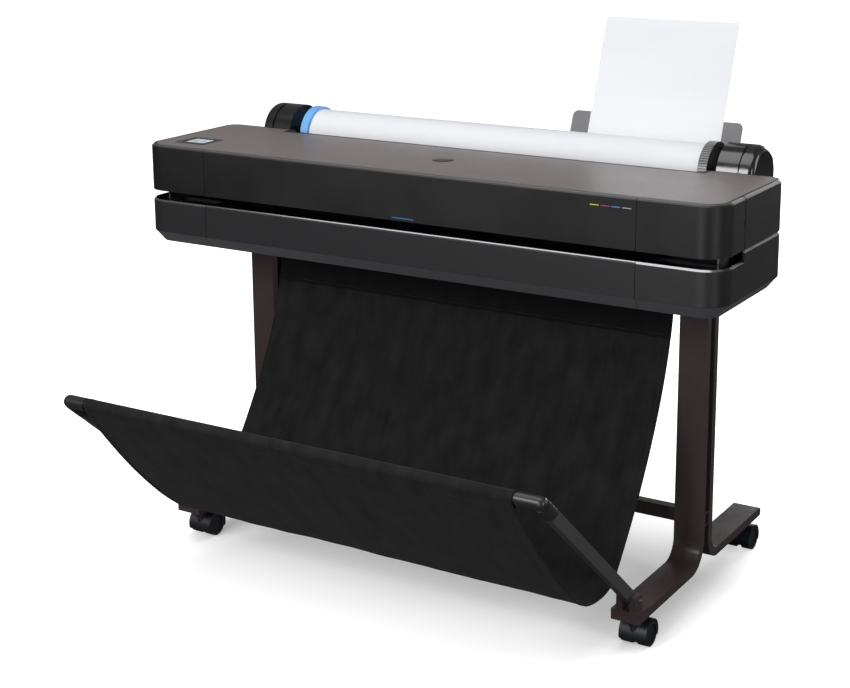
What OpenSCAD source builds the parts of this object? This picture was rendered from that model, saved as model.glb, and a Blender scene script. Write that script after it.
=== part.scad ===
// Large format plotter on a wheeled stand, with a roll and a cut-sheet tray at the back
// and a fabric catch bin in front. Millimetres, +Z up, floor at z = 0, front towards -Y.

/* [Overall] */
// Width of the widest roll it prints
media_w = 932; // [776:1:1120]
// Room for the mechanism beyond the roll at each end of the body
end_room = 192.5; // [185:0.5:230]
// Depth of the body from its front face to its rear face
body_d = 312; // [304:1:375]
// Height of the flat top above the floor
top_z = 855; // [712:1:1030]

/* [Casings] */
// Height of the upper casing
upper_h = 98; // [94:1:118]
// Height of the output slot between the casings
slot_h = 20; // [16:1:24]
// Height of the lower casing under the slot
lower_h = 93; // [86:1:112]
// Wall of the plastic covers
wall = 2.5; // [2:0.1:3]
// Radius of the body's upright front edges
front_r = 50; // [35:1:60]
// Radius of the body's upright rear edges
rear_r = 30; // [24:1:36]
// Bevel along the top edge
top_bevel = 5; // [4:0.5:6]
// Width of the rim round the top cover, bevel included
rim_w = 9.9; // [9.5:0.1:11]
// Thickness of the rim
rim_t = 4; // [3.6:0.1:4.8]
// Inset of the chamfer under the body
under_in = 20; // [16:1:24]
// Height of the chamfer under the body
under_up = 24; // [20:1:28]
// Bevel along the lower edge of the output slot
lip_bevel = 4; // [2:0.5:5]
// Bevel along the side seam between the casings
side_bevel = 6; // [4:0.5:7]
// Gap between neighbouring covers
seam = 1; // [0.6:0.1:1.4]
// Length of the slot's return along each side of the body
slot_return = 107; // [90:1:125]
// Distance from the roll's end to the seams of the front covers
seam_room = 27; // [20:1:32]
// Depth of the bay at the back that the roll sits in
bay_d = 29; // [20:1:34]
// Room between the roll's end and the left side of the bay
bay_room_left = 14; // [10:1:20]
// Room between the roll's end and the right side of the bay
bay_room_right = 34; // [28:1:40]

/* [Control panel] */
// Width of the screen's bezel
bezel_w = 77; // [70:1:90]
// Depth of the screen's bezel
bezel_d = 71; // [60:1:80]
// Width of the lit screen
screen_w = 57; // [50:1:62]
// Depth of the lit screen
screen_d = 48; // [40:1:52]
// Distance from the body's left face to the bezel
bezel_side = 48.5; // [45:0.5:60]
// Distance from the front face to the bezel
bezel_back = 49; // [40:1:70]

/* [Hinges] */
// Radius of the window's hinge barrel
window_barrel_r = 2; // [1.8:0.1:2.4]
// Radius of the window's hinge pins
window_pin_r = 0.9; // [0.8:0.05:1.1]
// Radius of the ink door's hinge barrel
door_barrel_r = 4; // [3.5:0.1:5]
// Radius of the ink door's hinge pin
door_pin_r = 1.5; // [1.2:0.1:2]
// Height of the ink door's fixed knuckle
knuckle_h = 12; // [8:1:20]
// Radial clearance of every running fit
fit = 0.05; // [0.02:0.01:0.1]

/* [Roll] */
// Radius of the full roll of paper
roll_r = 55; // [30:1:60]
// Radius of the hole in the roll's core
core_r = 25; // [22:1:30]
// Radius of the spindle
spindle_r = 12; // [9:1:14]
// Outer radius of the spindle's journals
journal_r = 16; // [15:1:18]
// Radius of the round roll supports
drum_r = 61.8; // [58:0.1:66]
// Length of a support from its inner side to its end face
drum_l = 77; // [60:1:90]
// Length of the open cradle beside a support
cradle_l = 17; // [15:1:22]
// Radius of the roll's stop and hub
stop_r = 61; // [56:1:63]
// Distance from the body's rear face to the roll's axis
roll_behind = 76.7; // [72:0.1:128]
// Depth of the roll's axis below the flat top
roll_drop = 18.7; // [10:0.1:24]
// Thickness of the stop and of the hub
stop_t = 19; // [15:1:21]

/* [Sheet tray] */
// Width of the tray
tray_w = 379; // [330:1:420]
// Distance from the roll's right end to the tray's right edge
tray_room = 36; // [20:1:50]
// Width of the cut sheet
sheet_w = 297; // [210:1:297]
// Length of the sheet that stands above the tray's bend
sheet_l = 279; // [200:1:330]
// Lean of the tray from upright, in degrees
tray_lean = 19.8; // [12:0.1:25]
// Thickness of the tray
tray_t = 4; // [3:0.5:6]
// Length of the tray above its bend
tray_l = 75; // [60:1:100]

/* [Stand] */
// Distance from the roll's end to the middle of a leg
leg_room = 51.6; // [50:0.1:70]
// Width of a leg bar
bar_w = 58; // [50:1:66]
// Thickness of a leg bar
bar_t = 18; // [16:1:22]
// Wall of a leg bar
bar_wall = 2; // [1.5:0.5:2.5]
// Gap between the front bar and the rear bar
bar_gap = 21; // [18:1:25]
// Distance from the front face to the front bar
post_back = 222.6; // [215:0.1:240]
// Inside radius of the front bar's bend
front_bend = 40; // [30:1:60]
// Inside radius of the rear bar's bend
rear_bend = 32; // [24:1:48]
// Length of the front foot ahead of its bar
front_reach = 286.6; // [240:0.1:340]
// Length of the rear foot behind its bar
rear_reach = 274.5; // [230:0.1:320]
// Height of the feet's underside above the floor
foot_z = 67.5; // [64:0.5:80]
// Height of the middle of the crossbar
crossbar_z = 166; // [150:1:260]
// Height of the crossbar's section
crossbar_h = 28; // [20:1:40]

/* [Casters] */
// Radius of a caster wheel
wheel_r = 25; // [22:0.5:26]
// Width of one wheel of a pair
wheel_w = 21; // [16:0.5:22]
// Width of the web between the wheels
web_w = 13; // [10:1:16]
// Distance from the swivel axis back to the axle
trail = 18; // [14:1:20]
// Radius of the swivel stem
stem_r = 5; // [4:0.5:6]
// Radius of the axle
axle_r = 3; // [2.5:0.5:4]

/* [Catch bin] */
// Distance from the front face ahead to the arms' pivot
pivot_ahead = 41; // [36:1:50]
// Height of the arms' pivot
pivot_z = 106; // [105:1:120]
// Length of an arm from pivot to rod
arm_l = 478; // [400:1:480]
// Rise of an arm above level, in degrees
arm_rise = 40.8; // [35:0.1:50]
// Height of an arm's section
arm_h = 24; // [20:1:24]
// Thickness of an arm
arm_t = 14; // [12:0.5:16]
// Radius of the arms' pivot pins
pivot_r = 3; // [2.5:0.5:4]
// Radius of the front rod
rod_r = 11; // [9:0.5:12]
// Radius of the elbows
elbow_r = 13; // [12.5:0.5:15]
// Thickness of the bin's fabric
fabric_t = 2; // [1.5:0.5:3]
// Room between the roll's end and the fabric's edge
fabric_room = 4; // [0:1:8]

/* [Print mechanism] */
// Radius of the carriage rod
rail_r = 6; // [5:0.5:8]
// Width of the carriage
carriage_w = 110; // [90:1:115]
// Radius of the feed roller
feed_r = 15; // [12:0.5:16]
// Radius of a pinch roller
pinch_r = 6; // [5:0.5:7]
// Radius of the belt pulleys
pulley_r = 9; // [7:0.5:10]
// Thickness of the side plates
plate_t = 3; // [2:0.5:4]
// Number of ink cartridges
cartridges = 4; // [3:1:4]
// Width of an ink cartridge
cartridge_w = 26; // [20:1:27]

/* [Hidden] */
$fn = 96;

// A hair of overlap that lets a cut pass clean through a face
over = 1;
// Clearance between pieces that seat on each other
seat = 0.25;

// Heights
slot_z = top_z - upper_h - slot_h;
upper_z = top_z - upper_h;
under_z = slot_z - lower_h;
roll_z = top_z - roll_drop;

// Places across the width
half_w = media_w / 2 + end_room;
seam_x = media_w / 2 + seam_room;
leg_x = media_w / 2 + leg_room;
fabric_x = media_w / 2 + fabric_room;
drum_x = seam_x + cradle_l;
plate_x = half_w - under_in - 7;

// Places from front to back, counted from the front face
rod_back = -pivot_ahead - arm_l * cos(arm_rise);
rod_z = pivot_z + arm_l * sin(arm_rise);
gap_back = post_back + bar_t;
rear_bar_back = gap_back + bar_gap;
foot_end_back = rear_bar_back + bar_t + rear_reach;
foot_front_back = post_back - front_reach;
front_y = -(foot_end_back + rod_back - elbow_r) / 2;
function back(s) = front_y + s;

// Hinge axes
window_axis_back = rim_w + 0.1 - window_barrel_r;
window_axis_z = top_z - window_barrel_r;
door_axis_x = half_w - door_barrel_r;
door_axis_back = slot_return - door_barrel_r;
knuckle_z = upper_z + upper_h / 2 - knuckle_h / 2;

// Roll, supports and tray
hub_clear = 4;
roll_back = body_d + roll_behind;
roll_x0 = -media_w / 2 + hub_clear;
roll_x1 = media_w / 2 + hub_clear;
tray_back = roll_back + stop_r + 9;
tray_bend_z = roll_z + 14;
tray_x1 = media_w / 2 + tray_room;
housing_top = roll_z - drum_r - 4;
housing_back = tray_back + tray_t + 17;
housing_x = seam_x + cradle_l + drum_l - 12;
housing_wall = 3;

// Stand
caster_front_back = -20;
caster_rear_back = 506;
cap_t = 6;
bracket_t = 9;
top_plate_t = 4;
pan_t = 2;
rail_s = 12;

// Print mechanism
top_t = 3;
platen_z = slot_z - 1;
feed_back = 100;
feed_z = platen_z - feed_r;
feed_axle_r = 5;
paper_gap = 0.4;
pinch_z = platen_z + pinch_r + paper_gap;
pinch_axle_r = 2;
rail_back = 150;
rail_z = upper_z + 43;
heads_z = platen_z + 2.5;
head_w = 44;
head_pitch = 50;
park_x = plate_x - carriage_w / 2 - 20;
belt_back = 215;
belt_z = rail_z + 8;
belt_h = 8;
belt_t = 1.5;
belt_clear = 0.3;
pulley_x = plate_x - 14;

// Colours
shell = "#2B2B2D";
taupe = "#857D7A";
leg_paint = "#302827";
steel = "#9A9CA0";
dark_plastic = "#3C3C3C";

// Section of a block's edge, measured outwards from the centre of its corner
function edge(r, z0, z1, foot, lip) = concat(
    [[0, z0], [r - foot[0], z0]],
    foot[1] > 0 ? [[r, z0 + foot[1]]] : [],
    lip[1] > 0 ? [[r, z1 - lip[1]]] : [],
    [[r - lip[0], z1], [0, z1]]
);

// Points of a cubic curve between two of its fractions
function curve(p, from, to, steps) = [
    for (i = [0:steps])
        let (t = from + (to - from) * i / steps, u = 1 - t)
        u * u * u * p[0] + 3 * u * u * t * p[1] + 3 * u * t * t * p[2] + t * t * t * p[3]
];
function unit(v) = v / norm(v);
function left_of(v) = [-v[1], v[0]];
// Normal of a line of points at one of them
function normal_at(pts, i) =
    left_of(unit(pts[min(i + 1, len(pts) - 1)] - pts[max(i - 1, 0)]));
// Outline of a strip of thickness t along a line of points
function strip(pts, t) = concat(
    [for (i = [0:len(pts) - 1]) pts[i] + normal_at(pts, i) * t / 2],
    [for (i = [len(pts) - 1:-1:0]) pts[i] - normal_at(pts, i) * t / 2]
);

// Upright block with rounded corners, a chamfered foot and a bevelled top edge
module block(x0, x1, y0, y1, z0, z1, rf, rr, foot = [0, 0], lip = [0, 0]) {
    corners = [
        [x0 + rf, y0 + rf, rf, 180], [x1 - rf, y0 + rf, rf, 270],
        [x1 - rr, y1 - rr, rr, 0], [x0 + rr, y1 - rr, rr, 90]
    ];
    for (c = corners)
        translate([c[0], c[1], 0])
            rotate(c[3])
                rotate_extrude(angle = 90) polygon(edge(c[2], z0, z1, foot, lip));
    translate([x0 + rf, y0 + rf, 0])
        mirror([0, 1, 0])
            rotate([90, 0, 90]) linear_extrude(x1 - x0 - 2 * rf) polygon(edge(rf, z0, z1, foot, lip));
    translate([x0 + rr, y1 - rr, 0])
        rotate([90, 0, 90]) linear_extrude(x1 - x0 - 2 * rr) polygon(edge(rr, z0, z1, foot, lip));
    translate([x1 - rf, y1 - rr, 0])
        rotate([90, 0, 0]) linear_extrude(y1 - y0 - rf - rr) polygon(edge(rf, z0, z1, foot, lip));
    translate([x0 + rf, y1 - rr, 0])
        mirror([1, 0, 0])
            rotate([90, 0, 0]) linear_extrude(y1 - y0 - rf - rr) polygon(edge(rf, z0, z1, foot, lip));
    translate([x0 + rf, y0 + rf, z0]) cube([x1 - x0 - 2 * rf, y1 - y0 - rf - rr, z1 - z0]);
}

// Box from one corner to the other, with Y counted back from the front face
module span(x, s, z) {
    translate([x[0], back(s[0]), z[0]]) cube([x[1] - x[0], s[1] - s[0], z[1] - z[0]]);
}

// Cylinder along X between two x values
module bar_x(x0, x1, s, z, r) {
    translate([x0, back(s), z]) rotate([0, 90, 0]) cylinder(r = r, h = x1 - x0);
}

// The body's plan, inset all round, with the bay for the roll cut from its back
module body_block(inset, z0, z1, foot = [0, 0], lip = [0, 0]) {
    bay_x = [-media_w / 2 - bay_room_left - inset, media_w / 2 + bay_room_right + inset];
    difference() {
        block(
            -half_w + inset, half_w - inset, back(inset), back(body_d - inset), z0, z1,
            front_r - inset, rear_r - inset, foot, lip
        );
        span(bay_x, [body_d - bay_d - inset, body_d + over], [z0 - over, z1 + over]);
    }
}

// Upper casing before it is cut into covers
module upper_casing() {
    difference() {
        body_block(0, upper_z, top_z, lip = [top_bevel, top_bevel]);
        body_block(wall, upper_z - over, top_z - rim_t, lip = [rim_t, rim_t]);
        body_block(rim_w, top_z - rim_t - over, top_z + over);
    }
}

// Lower casing before it is cut into covers: low in front for the slot, high behind it
module lower_casing() {
    difference() {
        union() {
            body_block(0, under_z, slot_z, foot = [under_in, under_up], lip = [lip_bevel, lip_bevel]);
            intersection() {
                body_block(
                    0, under_z, upper_z - 0.5, foot = [under_in, under_up],
                    lip = [side_bevel - wall / 2, side_bevel]
                );
                span([-half_w, half_w], [slot_return, body_d + over], [under_z, upper_z]);
            }
        }
        body_block(
            wall + 2, under_z, upper_z + over, foot = [under_in, under_up]
        );
        // opens the chamfered foot for the base pan
        body_block(wall + 2 + under_in, under_z - over, under_z + over);
    }
}

module top_cover() {
    color(taupe)
        difference() {
            body_block(rim_w + 0.5, top_z - top_t, top_z);
            span(
                [-half_w + bezel_side, -half_w + bezel_side + bezel_w],
                [bezel_back, bezel_back + bezel_d], [top_z - 4, top_z + over]
            );
        }
}

module touchscreen_bezel() {
    x0 = -half_w + bezel_side + seat;
    w = bezel_w - 2 * seat;
    d = bezel_d - 2 * seat;
    color("#1A1A1C")
        difference() {
            span([x0, x0 + w], [bezel_back + seat, bezel_back + seat + d], [top_z - 3, top_z + 0.6]);
            translate([x0 + (w - screen_w) / 2, back(bezel_back + seat + (d - screen_d) / 2), top_z - 2])
                cube([screen_w, screen_d, 4]);
        }
}

module touchscreen() {
    x0 = -half_w + bezel_side + (bezel_w - screen_w) / 2 + seat;
    s0 = bezel_back + (bezel_d - screen_d) / 2 + seat;
    color("#D8E4E2")
        span([x0, x0 + screen_w - 2 * seat], [s0, s0 + screen_d - 2 * seat], [top_z - 2, top_z + 0.3]);
}

module upper_left_cover() {
    color(shell)
        difference() {
            intersection() {
                upper_casing();
                span([-half_w - over, -seam_x - seam / 2], [-over, body_d + over], [upper_z, top_z]);
            }
            bar_x(-seam_x - 8, -seam_x + over, window_axis_back, window_axis_z, window_pin_r);
        }
}

// Front of the upper casing, which tilts up and forward about the barrel along its top
module window() {
    x1 = seam_x - seam / 2;
    color(shell)
        difference() {
            union() {
                intersection() {
                    upper_casing();
                    span([-x1, x1], [-over, window_axis_back], [upper_z, top_z]);
                }
                bar_x(-x1, x1, window_axis_back, window_axis_z, window_barrel_r);
            }
            for (side = [-1, 1])
                translate([side * (x1 - 5), 0, 0])
                    bar_x(-6, 6, window_axis_back, window_axis_z, window_pin_r + fit);
        }
}

// Door over the ink cartridges: it wraps the right front corner
module ink_door() {
    color(shell)
        difference() {
            union() {
                intersection() {
                    upper_casing();
                    span([seam_x + seam / 2, half_w + over], [-over, door_axis_back], [upper_z, top_z]);
                }
                translate([door_axis_x, back(door_axis_back), upper_z])
                    cylinder(r = door_barrel_r, h = upper_h - rim_t);
            }
            bar_x(seam_x - over, seam_x + 8, window_axis_back, window_axis_z, window_pin_r + fit);
            translate([door_axis_x, back(door_axis_back), knuckle_z - 10])
                cylinder(r = door_pin_r + fit, h = knuckle_h + 20);
            span(
                [door_axis_x - 2 * door_barrel_r, half_w + over],
                [door_axis_back - door_barrel_r - 1, slot_return + over],
                [knuckle_z - seam / 2, knuckle_z + knuckle_h + seam / 2]
            );
        }
}

module upper_right_cover() {
    color(shell)
        difference() {
            union() {
                intersection() {
                    upper_casing();
                    span(
                        [seam_x + seam / 2, half_w + over], [slot_return + seam / 2, body_d + over],
                        [upper_z, top_z]
                    );
                }
                translate([door_axis_x, back(door_axis_back), knuckle_z])
                    cylinder(r = door_barrel_r, h = knuckle_h);
                span(
                    [door_axis_x - door_barrel_r, half_w - wall],
                    [door_axis_back, slot_return + 12], [knuckle_z, knuckle_z + knuckle_h]
                );
            }
            translate([door_axis_x, back(door_axis_back), knuckle_z - over])
                cylinder(r = door_pin_r, h = knuckle_h + 2 * over);
        }
}

module upper_rear_cover() {
    color(shell)
        intersection() {
            upper_casing();
            span(
                [-seam_x + seam / 2, seam_x - seam / 2], [body_d / 2, body_d + over],
                [upper_z, top_z]
            );
        }
}

module hinge_pins() {
    color(steel) {
        for (side = [-1, 1])
            translate([side * seam_x, 0, 0])
                bar_x(-5, 5, window_axis_back, window_axis_z, window_pin_r);
        translate([door_axis_x, back(door_axis_back), knuckle_z - 9])
            cylinder(r = door_pin_r, h = knuckle_h + 18);
    }
}

// Slot for the power inlet in the back of the left cover
inlet_w = 48;
inlet_h = 28;
inlet_x = -half_w + 70;
inlet_z = under_z + 56;
module inlet_cut(clear) {
    span(
        [inlet_x - inlet_w / 2 - clear, inlet_x + inlet_w / 2 + clear],
        [body_d - 12, body_d + over],
        [inlet_z - inlet_h / 2 - clear, inlet_z + inlet_h / 2 + clear]
    );
}

module lower_left_cover() {
    color(shell)
        difference() {
            intersection() {
                lower_casing();
                span(
                    [-half_w - over, -seam_x - seam / 2], [-over, body_d + over],
                    [under_z, upper_z]
                );
            }
            inlet_cut(seat);
        }
}

module lower_front_panel() {
    color(shell)
        intersection() {
            lower_casing();
            span([-seam_x + seam / 2, seam_x - seam / 2], [-over, body_d + over], [under_z, upper_z]);
        }
}

module lower_right_cover() {
    color(shell)
        intersection() {
            lower_casing();
            span([seam_x + seam / 2, half_w + over], [-over, body_d + over], [under_z, upper_z]);
        }
}

// Housing behind the body that carries the roll supports and the sheet tray
module rear_housing() {
    s0 = body_d + 0.5;
    h = [under_z + 6, housing_top];
    color(shell)
        difference() {
            union() {
                block(
                    -housing_x, housing_x, back(s0), back(housing_back), h[0], h[1],
                    6, 24, foot = [4, 4], lip = [5, 5]
                );
                span(
                    [-media_w / 2 - bay_room_left + 0.5, media_w / 2 + bay_room_right - 0.5],
                    [body_d - bay_d + 0.5, s0 + 12], [upper_z + 1, h[1]]
                );
            }
            span(
                [-housing_x + housing_wall, housing_x - housing_wall],
                [s0 - over, housing_back - 24], [h[0] + housing_wall, h[1] - housing_wall]
            );
        }
}

module base_pan() {
    inset = wall + 2 + under_in + 0.5;
    color(steel)
        difference() {
            body_block(inset, under_z, under_z + pan_t);
            for (side = [-1, 1])
                for (s = [post_back + bar_t / 2, rear_bar_back + bar_t / 2])
                    translate([side * leg_x, back(s), under_z - over]) cylinder(r = 3.2, h = 4);
        }
}

// Flat bed that the paper slides over, open for the feed roller
module exit_platen() {
    x1 = media_w / 2 + 24;
    color("#101012")
        difference() {
            span([-x1, x1], [8, 205], [platen_z - 5, platen_z]);
            span(
                [-x1 + 14, x1 - 14], [feed_back - feed_r - 2, feed_back + feed_r + 2],
                [platen_z - 6, platen_z + over]
            );
        }
}

// Round roll support with its open cradle, drawn for the right end
module roll_support() {
    end_fillet = 13;
    color("#141416")
        difference() {
            union() {
                translate([drum_x, back(roll_back), roll_z])
                    rotate([0, 90, 0])
                        rotate_extrude() {
                            square([drum_r, drum_l - end_fillet]);
                            square([drum_r - end_fillet, drum_l]);
                            translate([drum_r - end_fillet, drum_l - end_fillet])
                                intersection() {
                                    circle(end_fillet);
                                    square(end_fillet);
                                }
                        }
                intersection() {
                    bar_x(seam_x, drum_x + over, roll_back, roll_z, drum_r);
                    span(
                        [seam_x, drum_x + over], [roll_back - drum_r, roll_back + drum_r],
                        [roll_z - drum_r, roll_z]
                    );
                }
                span(
                    [seam_x, drum_x + drum_l - 2 * end_fillet], [roll_back - 45, roll_back + 45],
                    [housing_top, roll_z - drum_r / 2]
                );
            }
            // seat for the journal
            bar_x(seam_x - over, drum_x, roll_back, roll_z, journal_r + fit);
            // hollow end, so that the support is a shell
            translate([drum_x + 3, back(roll_back), roll_z])
                rotate([0, 90, 0]) cylinder(r = drum_r - 16, h = drum_l - 6);
            // groove over the top
            translate([drum_x + 44, back(roll_back), roll_z])
                rotate([0, 90, 0])
                    rotate([0, 0, 155])
                        rotate_extrude(angle = 145)
                            translate([drum_r - 3, 0]) square([4, 5]);
        }
}

module roll_support_right() {
    roll_support();
}

module roll_support_left() {
    mirror([1, 0, 0]) roll_support();
}

module spindle() {
    color("#202022") bar_x(-drum_x + 2, drum_x - 2, roll_back, roll_z, spindle_r);
}

module spindle_journals() {
    color("#3A3A3D")
        for (side = [-1, 1])
            translate([side * (seam_x + cradle_l / 2), 0, 0])
                difference() {
                    bar_x(-6, 6, roll_back, roll_z, journal_r);
                    bar_x(-7, 7, roll_back, roll_z, spindle_r + fit);
                }
}

// Flange with a plug that fills the core's end, drawn from x = 0 towards +X
module core_flange(flange_t, plug_l) {
    difference() {
        union() {
            bar_x(0, flange_t, roll_back, roll_z, stop_r);
            bar_x(-plug_l, over, roll_back, roll_z, core_r - seat);
        }
        bar_x(-plug_l - over, flange_t + over, roll_back, roll_z, spindle_r);
        // dished outer side
        translate([flange_t - 4, 0, 0]) bar_x(0, 5, roll_back, roll_z, stop_r - 9);
    }
}

module blue_stop() {
    color("#6CB2F5")
        translate([roll_x0 - seat, 0, 0]) mirror([1, 0, 0]) core_flange(stop_t, 30);
}

module ribbed_hub() {
    ribs = 72;
    color("#1C1C1E")
        translate([roll_x1 + seat, 0, 0]) {
            difference() {
                core_flange(stop_t, 30);
                for (i = [0:ribs - 1])
                    translate([-over, back(roll_back), roll_z])
                        rotate([i * 360 / ribs, 0, 0])
                            translate([0, -0.9, stop_r - 1.6]) cube([stop_t + 2 * over, 1.8, 3]);
            }
        }
}

module paper_roll() {
    color("#F2F2F4")
        difference() {
            bar_x(roll_x0, roll_x1, roll_back, roll_z, roll_r);
            bar_x(roll_x0 - over, roll_x1 + over, roll_back, roll_z, core_r);
        }
}

// Upright plate that bends back at its middle, with rounded top corners
module sheet_tray() {
    corner_r = 12;
    x0 = tray_x1 - tray_w;
    top = tray_bend_z + tray_l * cos(tray_lean);
    mid = tray_back + tray_t / 2;
    line = [[mid, housing_top], [mid, tray_bend_z], [mid + tray_l * sin(tray_lean), top]];
    color("#808082")
        difference() {
            union() {
                intersection() {
                    translate([x0, front_y, 0])
                        rotate([90, 0, 90]) linear_extrude(tray_w) polygon(strip(line, tray_t));
                    translate([0, back(housing_back + 40), 0])
                        rotate([90, 0, 0])
                            linear_extrude(120) {
                                translate([x0, housing_top]) square([tray_w, top - housing_top - corner_r]);
                                translate([x0 + corner_r, housing_top])
                                    square([tray_w - 2 * corner_r, top - housing_top]);
                                for (x = [x0 + corner_r, x0 + tray_w - corner_r])
                                    translate([x, top - corner_r]) circle(corner_r);
                            }
                }
                span([x0, x0 + tray_w], [tray_back + 1, tray_back + tray_t + 10], [housing_top, housing_top + 4]);
            }
            for (x = [x0 + 30, x0 + tray_w - 30])
                translate([x, back(tray_back + tray_t + 5), housing_top - over])
                    cylinder(r = 2.2, h = 6);
        }
}

module paper_sheet() {
    x_mid = tray_x1 - tray_w / 2 + 0.5;
    color("#F4F4F6")
        translate([0, back(tray_back) + tray_t / 2, tray_bend_z])
            rotate([-tray_lean, 0, 0])
                translate([x_mid - sheet_w / 2, -tray_t / 2 - 0.8, 1]) cube([sheet_w, 0.6, sheet_l]);
}

module side_plates() {
    color(steel)
        for (side = [-1, 1])
            translate([side * plate_x, 0, 0])
                difference() {
                    span(
                        [-plate_t / 2, plate_t / 2], [front_r, body_d - 40],
                        [under_z + pan_t + 0.2, top_z - top_t - 0.2]
                    );
                    bar_x(-plate_t, plate_t, rail_back, rail_z, rail_r);
                    bar_x(-plate_t, plate_t, feed_back, feed_z, feed_axle_r + fit);
                    bar_x(-plate_t, plate_t, feed_back, pinch_z, pinch_axle_r + fit);
                    // window that lightens the plate
                    span([-plate_t, plate_t], [190, 250], [under_z + 30, under_z + 80]);
                }
}

module carriage_rod() {
    color("#C8CACD") bar_x(-plate_x - 2, plate_x + 2, rail_back, rail_z, rail_r);
}

module carriage() {
    x0 = park_x - carriage_w / 2;
    color("#26262A")
        difference() {
            union() {
                span([x0, x0 + carriage_w], [128, 198], [heads_z + 8, rail_z + 36]);
                span(
                    [park_x - 15, park_x + 15],
                    [197, belt_back - pulley_r - belt_clear - belt_t - 0.3],
                    [belt_z - 4, belt_z + belt_h + 4]
                );
            }
            bar_x(x0 - over, x0 + carriage_w + over, rail_back, rail_z, rail_r + fit);
            // wells for the print heads, open below
            for (i = [0:1])
                translate([x0 + 8 + i * head_pitch, 0, heads_z])
                    span([0, head_w], [162, 194], [7, 38]);
        }
}

module print_heads() {
    x0 = park_x - carriage_w / 2;
    color("#4A4A4E")
        for (i = [0:1])
            translate([x0 + 8 + i * head_pitch, 0, heads_z]) {
                span([1, head_w - 1], [163, 193], [4, 37]);
                span([9, head_w - 9], [170, 186], [0, 5]);
            }
}

// Flat loop round the two pulleys
module belt_loop(r) {
    for (x = [-pulley_x, pulley_x]) translate([x, back(belt_back)]) circle(r);
    translate([-pulley_x, back(belt_back) - r]) square([2 * pulley_x, 2 * r]);
}

module carriage_belt() {
    color("#101010")
        translate([0, 0, belt_z])
            linear_extrude(belt_h)
                difference() {
                    belt_loop(pulley_r + belt_clear + belt_t);
                    belt_loop(pulley_r + belt_clear);
                }
}

module pulley(x) {
    color("#B8B8BC")
        translate([x, back(belt_back), belt_z - 2]) {
            cylinder(r = pulley_r, h = belt_h + 4);
            translate([0, 0, -14]) cylinder(r = 3, h = belt_h + 22);
        }
}

module drive_pulley() {
    pulley(-pulley_x);
}

module idler_pulley() {
    pulley(pulley_x);
}

module feed_roller() {
    color("#3A3D40") {
        bar_x(-media_w / 2 - 4, media_w / 2 + 4, feed_back, feed_z, feed_r);
        bar_x(-plate_x - 6, plate_x + 6, feed_back, feed_z, feed_axle_r);
    }
}

module pinch_rollers() {
    rollers = 8;
    pitch = media_w / rollers;
    color("#55585C") {
        bar_x(-plate_x - 6, plate_x + 6, feed_back, pinch_z, pinch_axle_r);
        for (i = [0:rollers - 1])
            bar_x(
                -media_w / 2 + (i + 0.25) * pitch, -media_w / 2 + (i + 0.75) * pitch,
                feed_back, pinch_z, pinch_r
            );
    }
}

module ink_cartridges() {
    first_x = seam_x + 14;
    pitch = cartridge_w + 3;
    cartridge_h = 76;
    tints = ["#E8D21E", "#C0207A", "#1E8FD0", "#2A2A2A"];
    for (i = [0:cartridges - 1])
        color(tints[i])
            translate([first_x + i * pitch, 0, upper_z + 4])
                span([0, cartridge_w], [14, 98], [0, cartridge_h]);
}

module service_station() {
    x0 = park_x - carriage_w / 2 - 3;
    color("#3A3A3D")
        difference() {
            span([x0, x0 + carriage_w + 6], [124, 204], [under_z + pan_t + 1, platen_z - 0.5]);
            // cups that cap the heads
            for (i = [0:1])
                translate([x0 + 11 + i * head_pitch, 0, platen_z])
                    span([9, head_w - 9], [168, 188], [-8, 0]);
        }
}

module main_board() {
    board_s = 256;
    translate([-media_w / 2 + 60, 0, under_z + 14]) {
        color("#1E5A36") span([0, 260], [board_s, board_s + 1.6], [0, 80]);
        color("#202020")
            for (i = [0:3]) span([24, 54] + [60, 60] * i, [board_s - 5, board_s], [16, 46]);
    }
}

module power_inlet() {
    color("#151516")
        difference() {
            intersection() {
                inlet_cut(0);
                span([-half_w, half_w], [body_d - 12, body_d + 0.4], [under_z, upper_z]);
            }
            span(
                [inlet_x - 13, inlet_x + 13], [body_d - 9, body_d + over],
                [inlet_z - 9, inlet_z + 9]
            );
        }
    color("#C8A860")
        for (p = [[-7, -3], [0, 3], [7, -3]])
            span(
                [inlet_x + p[0] - 1, inlet_x + p[0] + 1], [body_d - 9.5, body_d - 1],
                [inlet_z + p[1] - 2.5, inlet_z + p[1] + 2.5]
            );
}

// Solid run of a leg bar: upright, bend and foot, drawn towards -Y from its rear face
module bar_run(inset, bend_r, reach, top) {
    w = bar_w - 2 * inset;
    t = bar_t - 2 * inset;
    foot_l = reach - bend_r;
    // upright
    translate([-w / 2, inset, foot_z + bar_t + bend_r]) cube([w, t, top - foot_z - bar_t - bend_r]);
    // bend
    translate([0, -bend_r, foot_z + bar_t + bend_r])
        rotate([0, 90, 0])
            rotate_extrude(angle = 90) translate([bend_r + inset, -w / 2]) square([t, w]);
    // foot
    translate([-w / 2, -bend_r - foot_l, foot_z + inset]) cube([w, foot_l, t]);
}

// Hollow leg bar, open at both ends, with the hole for a caster's stem
module leg_bar(bend_r, reach, stem_y) {
    top = under_z - top_plate_t;
    color(leg_paint)
        difference() {
            bar_run(0, bend_r, reach, top);
            difference() {
                bar_run(bar_wall, bend_r, reach + over, top + over);
                // boss round the stem's hole
                translate([0, stem_y, foot_z]) cylinder(r = stem_r + 4, h = bar_t);
            }
            translate([0, stem_y, foot_z - over]) cylinder(r = stem_r + fit, h = bar_t);
        }
}

module front_bar(side) {
    translate([side * leg_x, back(post_back), 0])
        leg_bar(front_bend, front_reach - bracket_t, caster_front_back - post_back);
}

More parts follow.
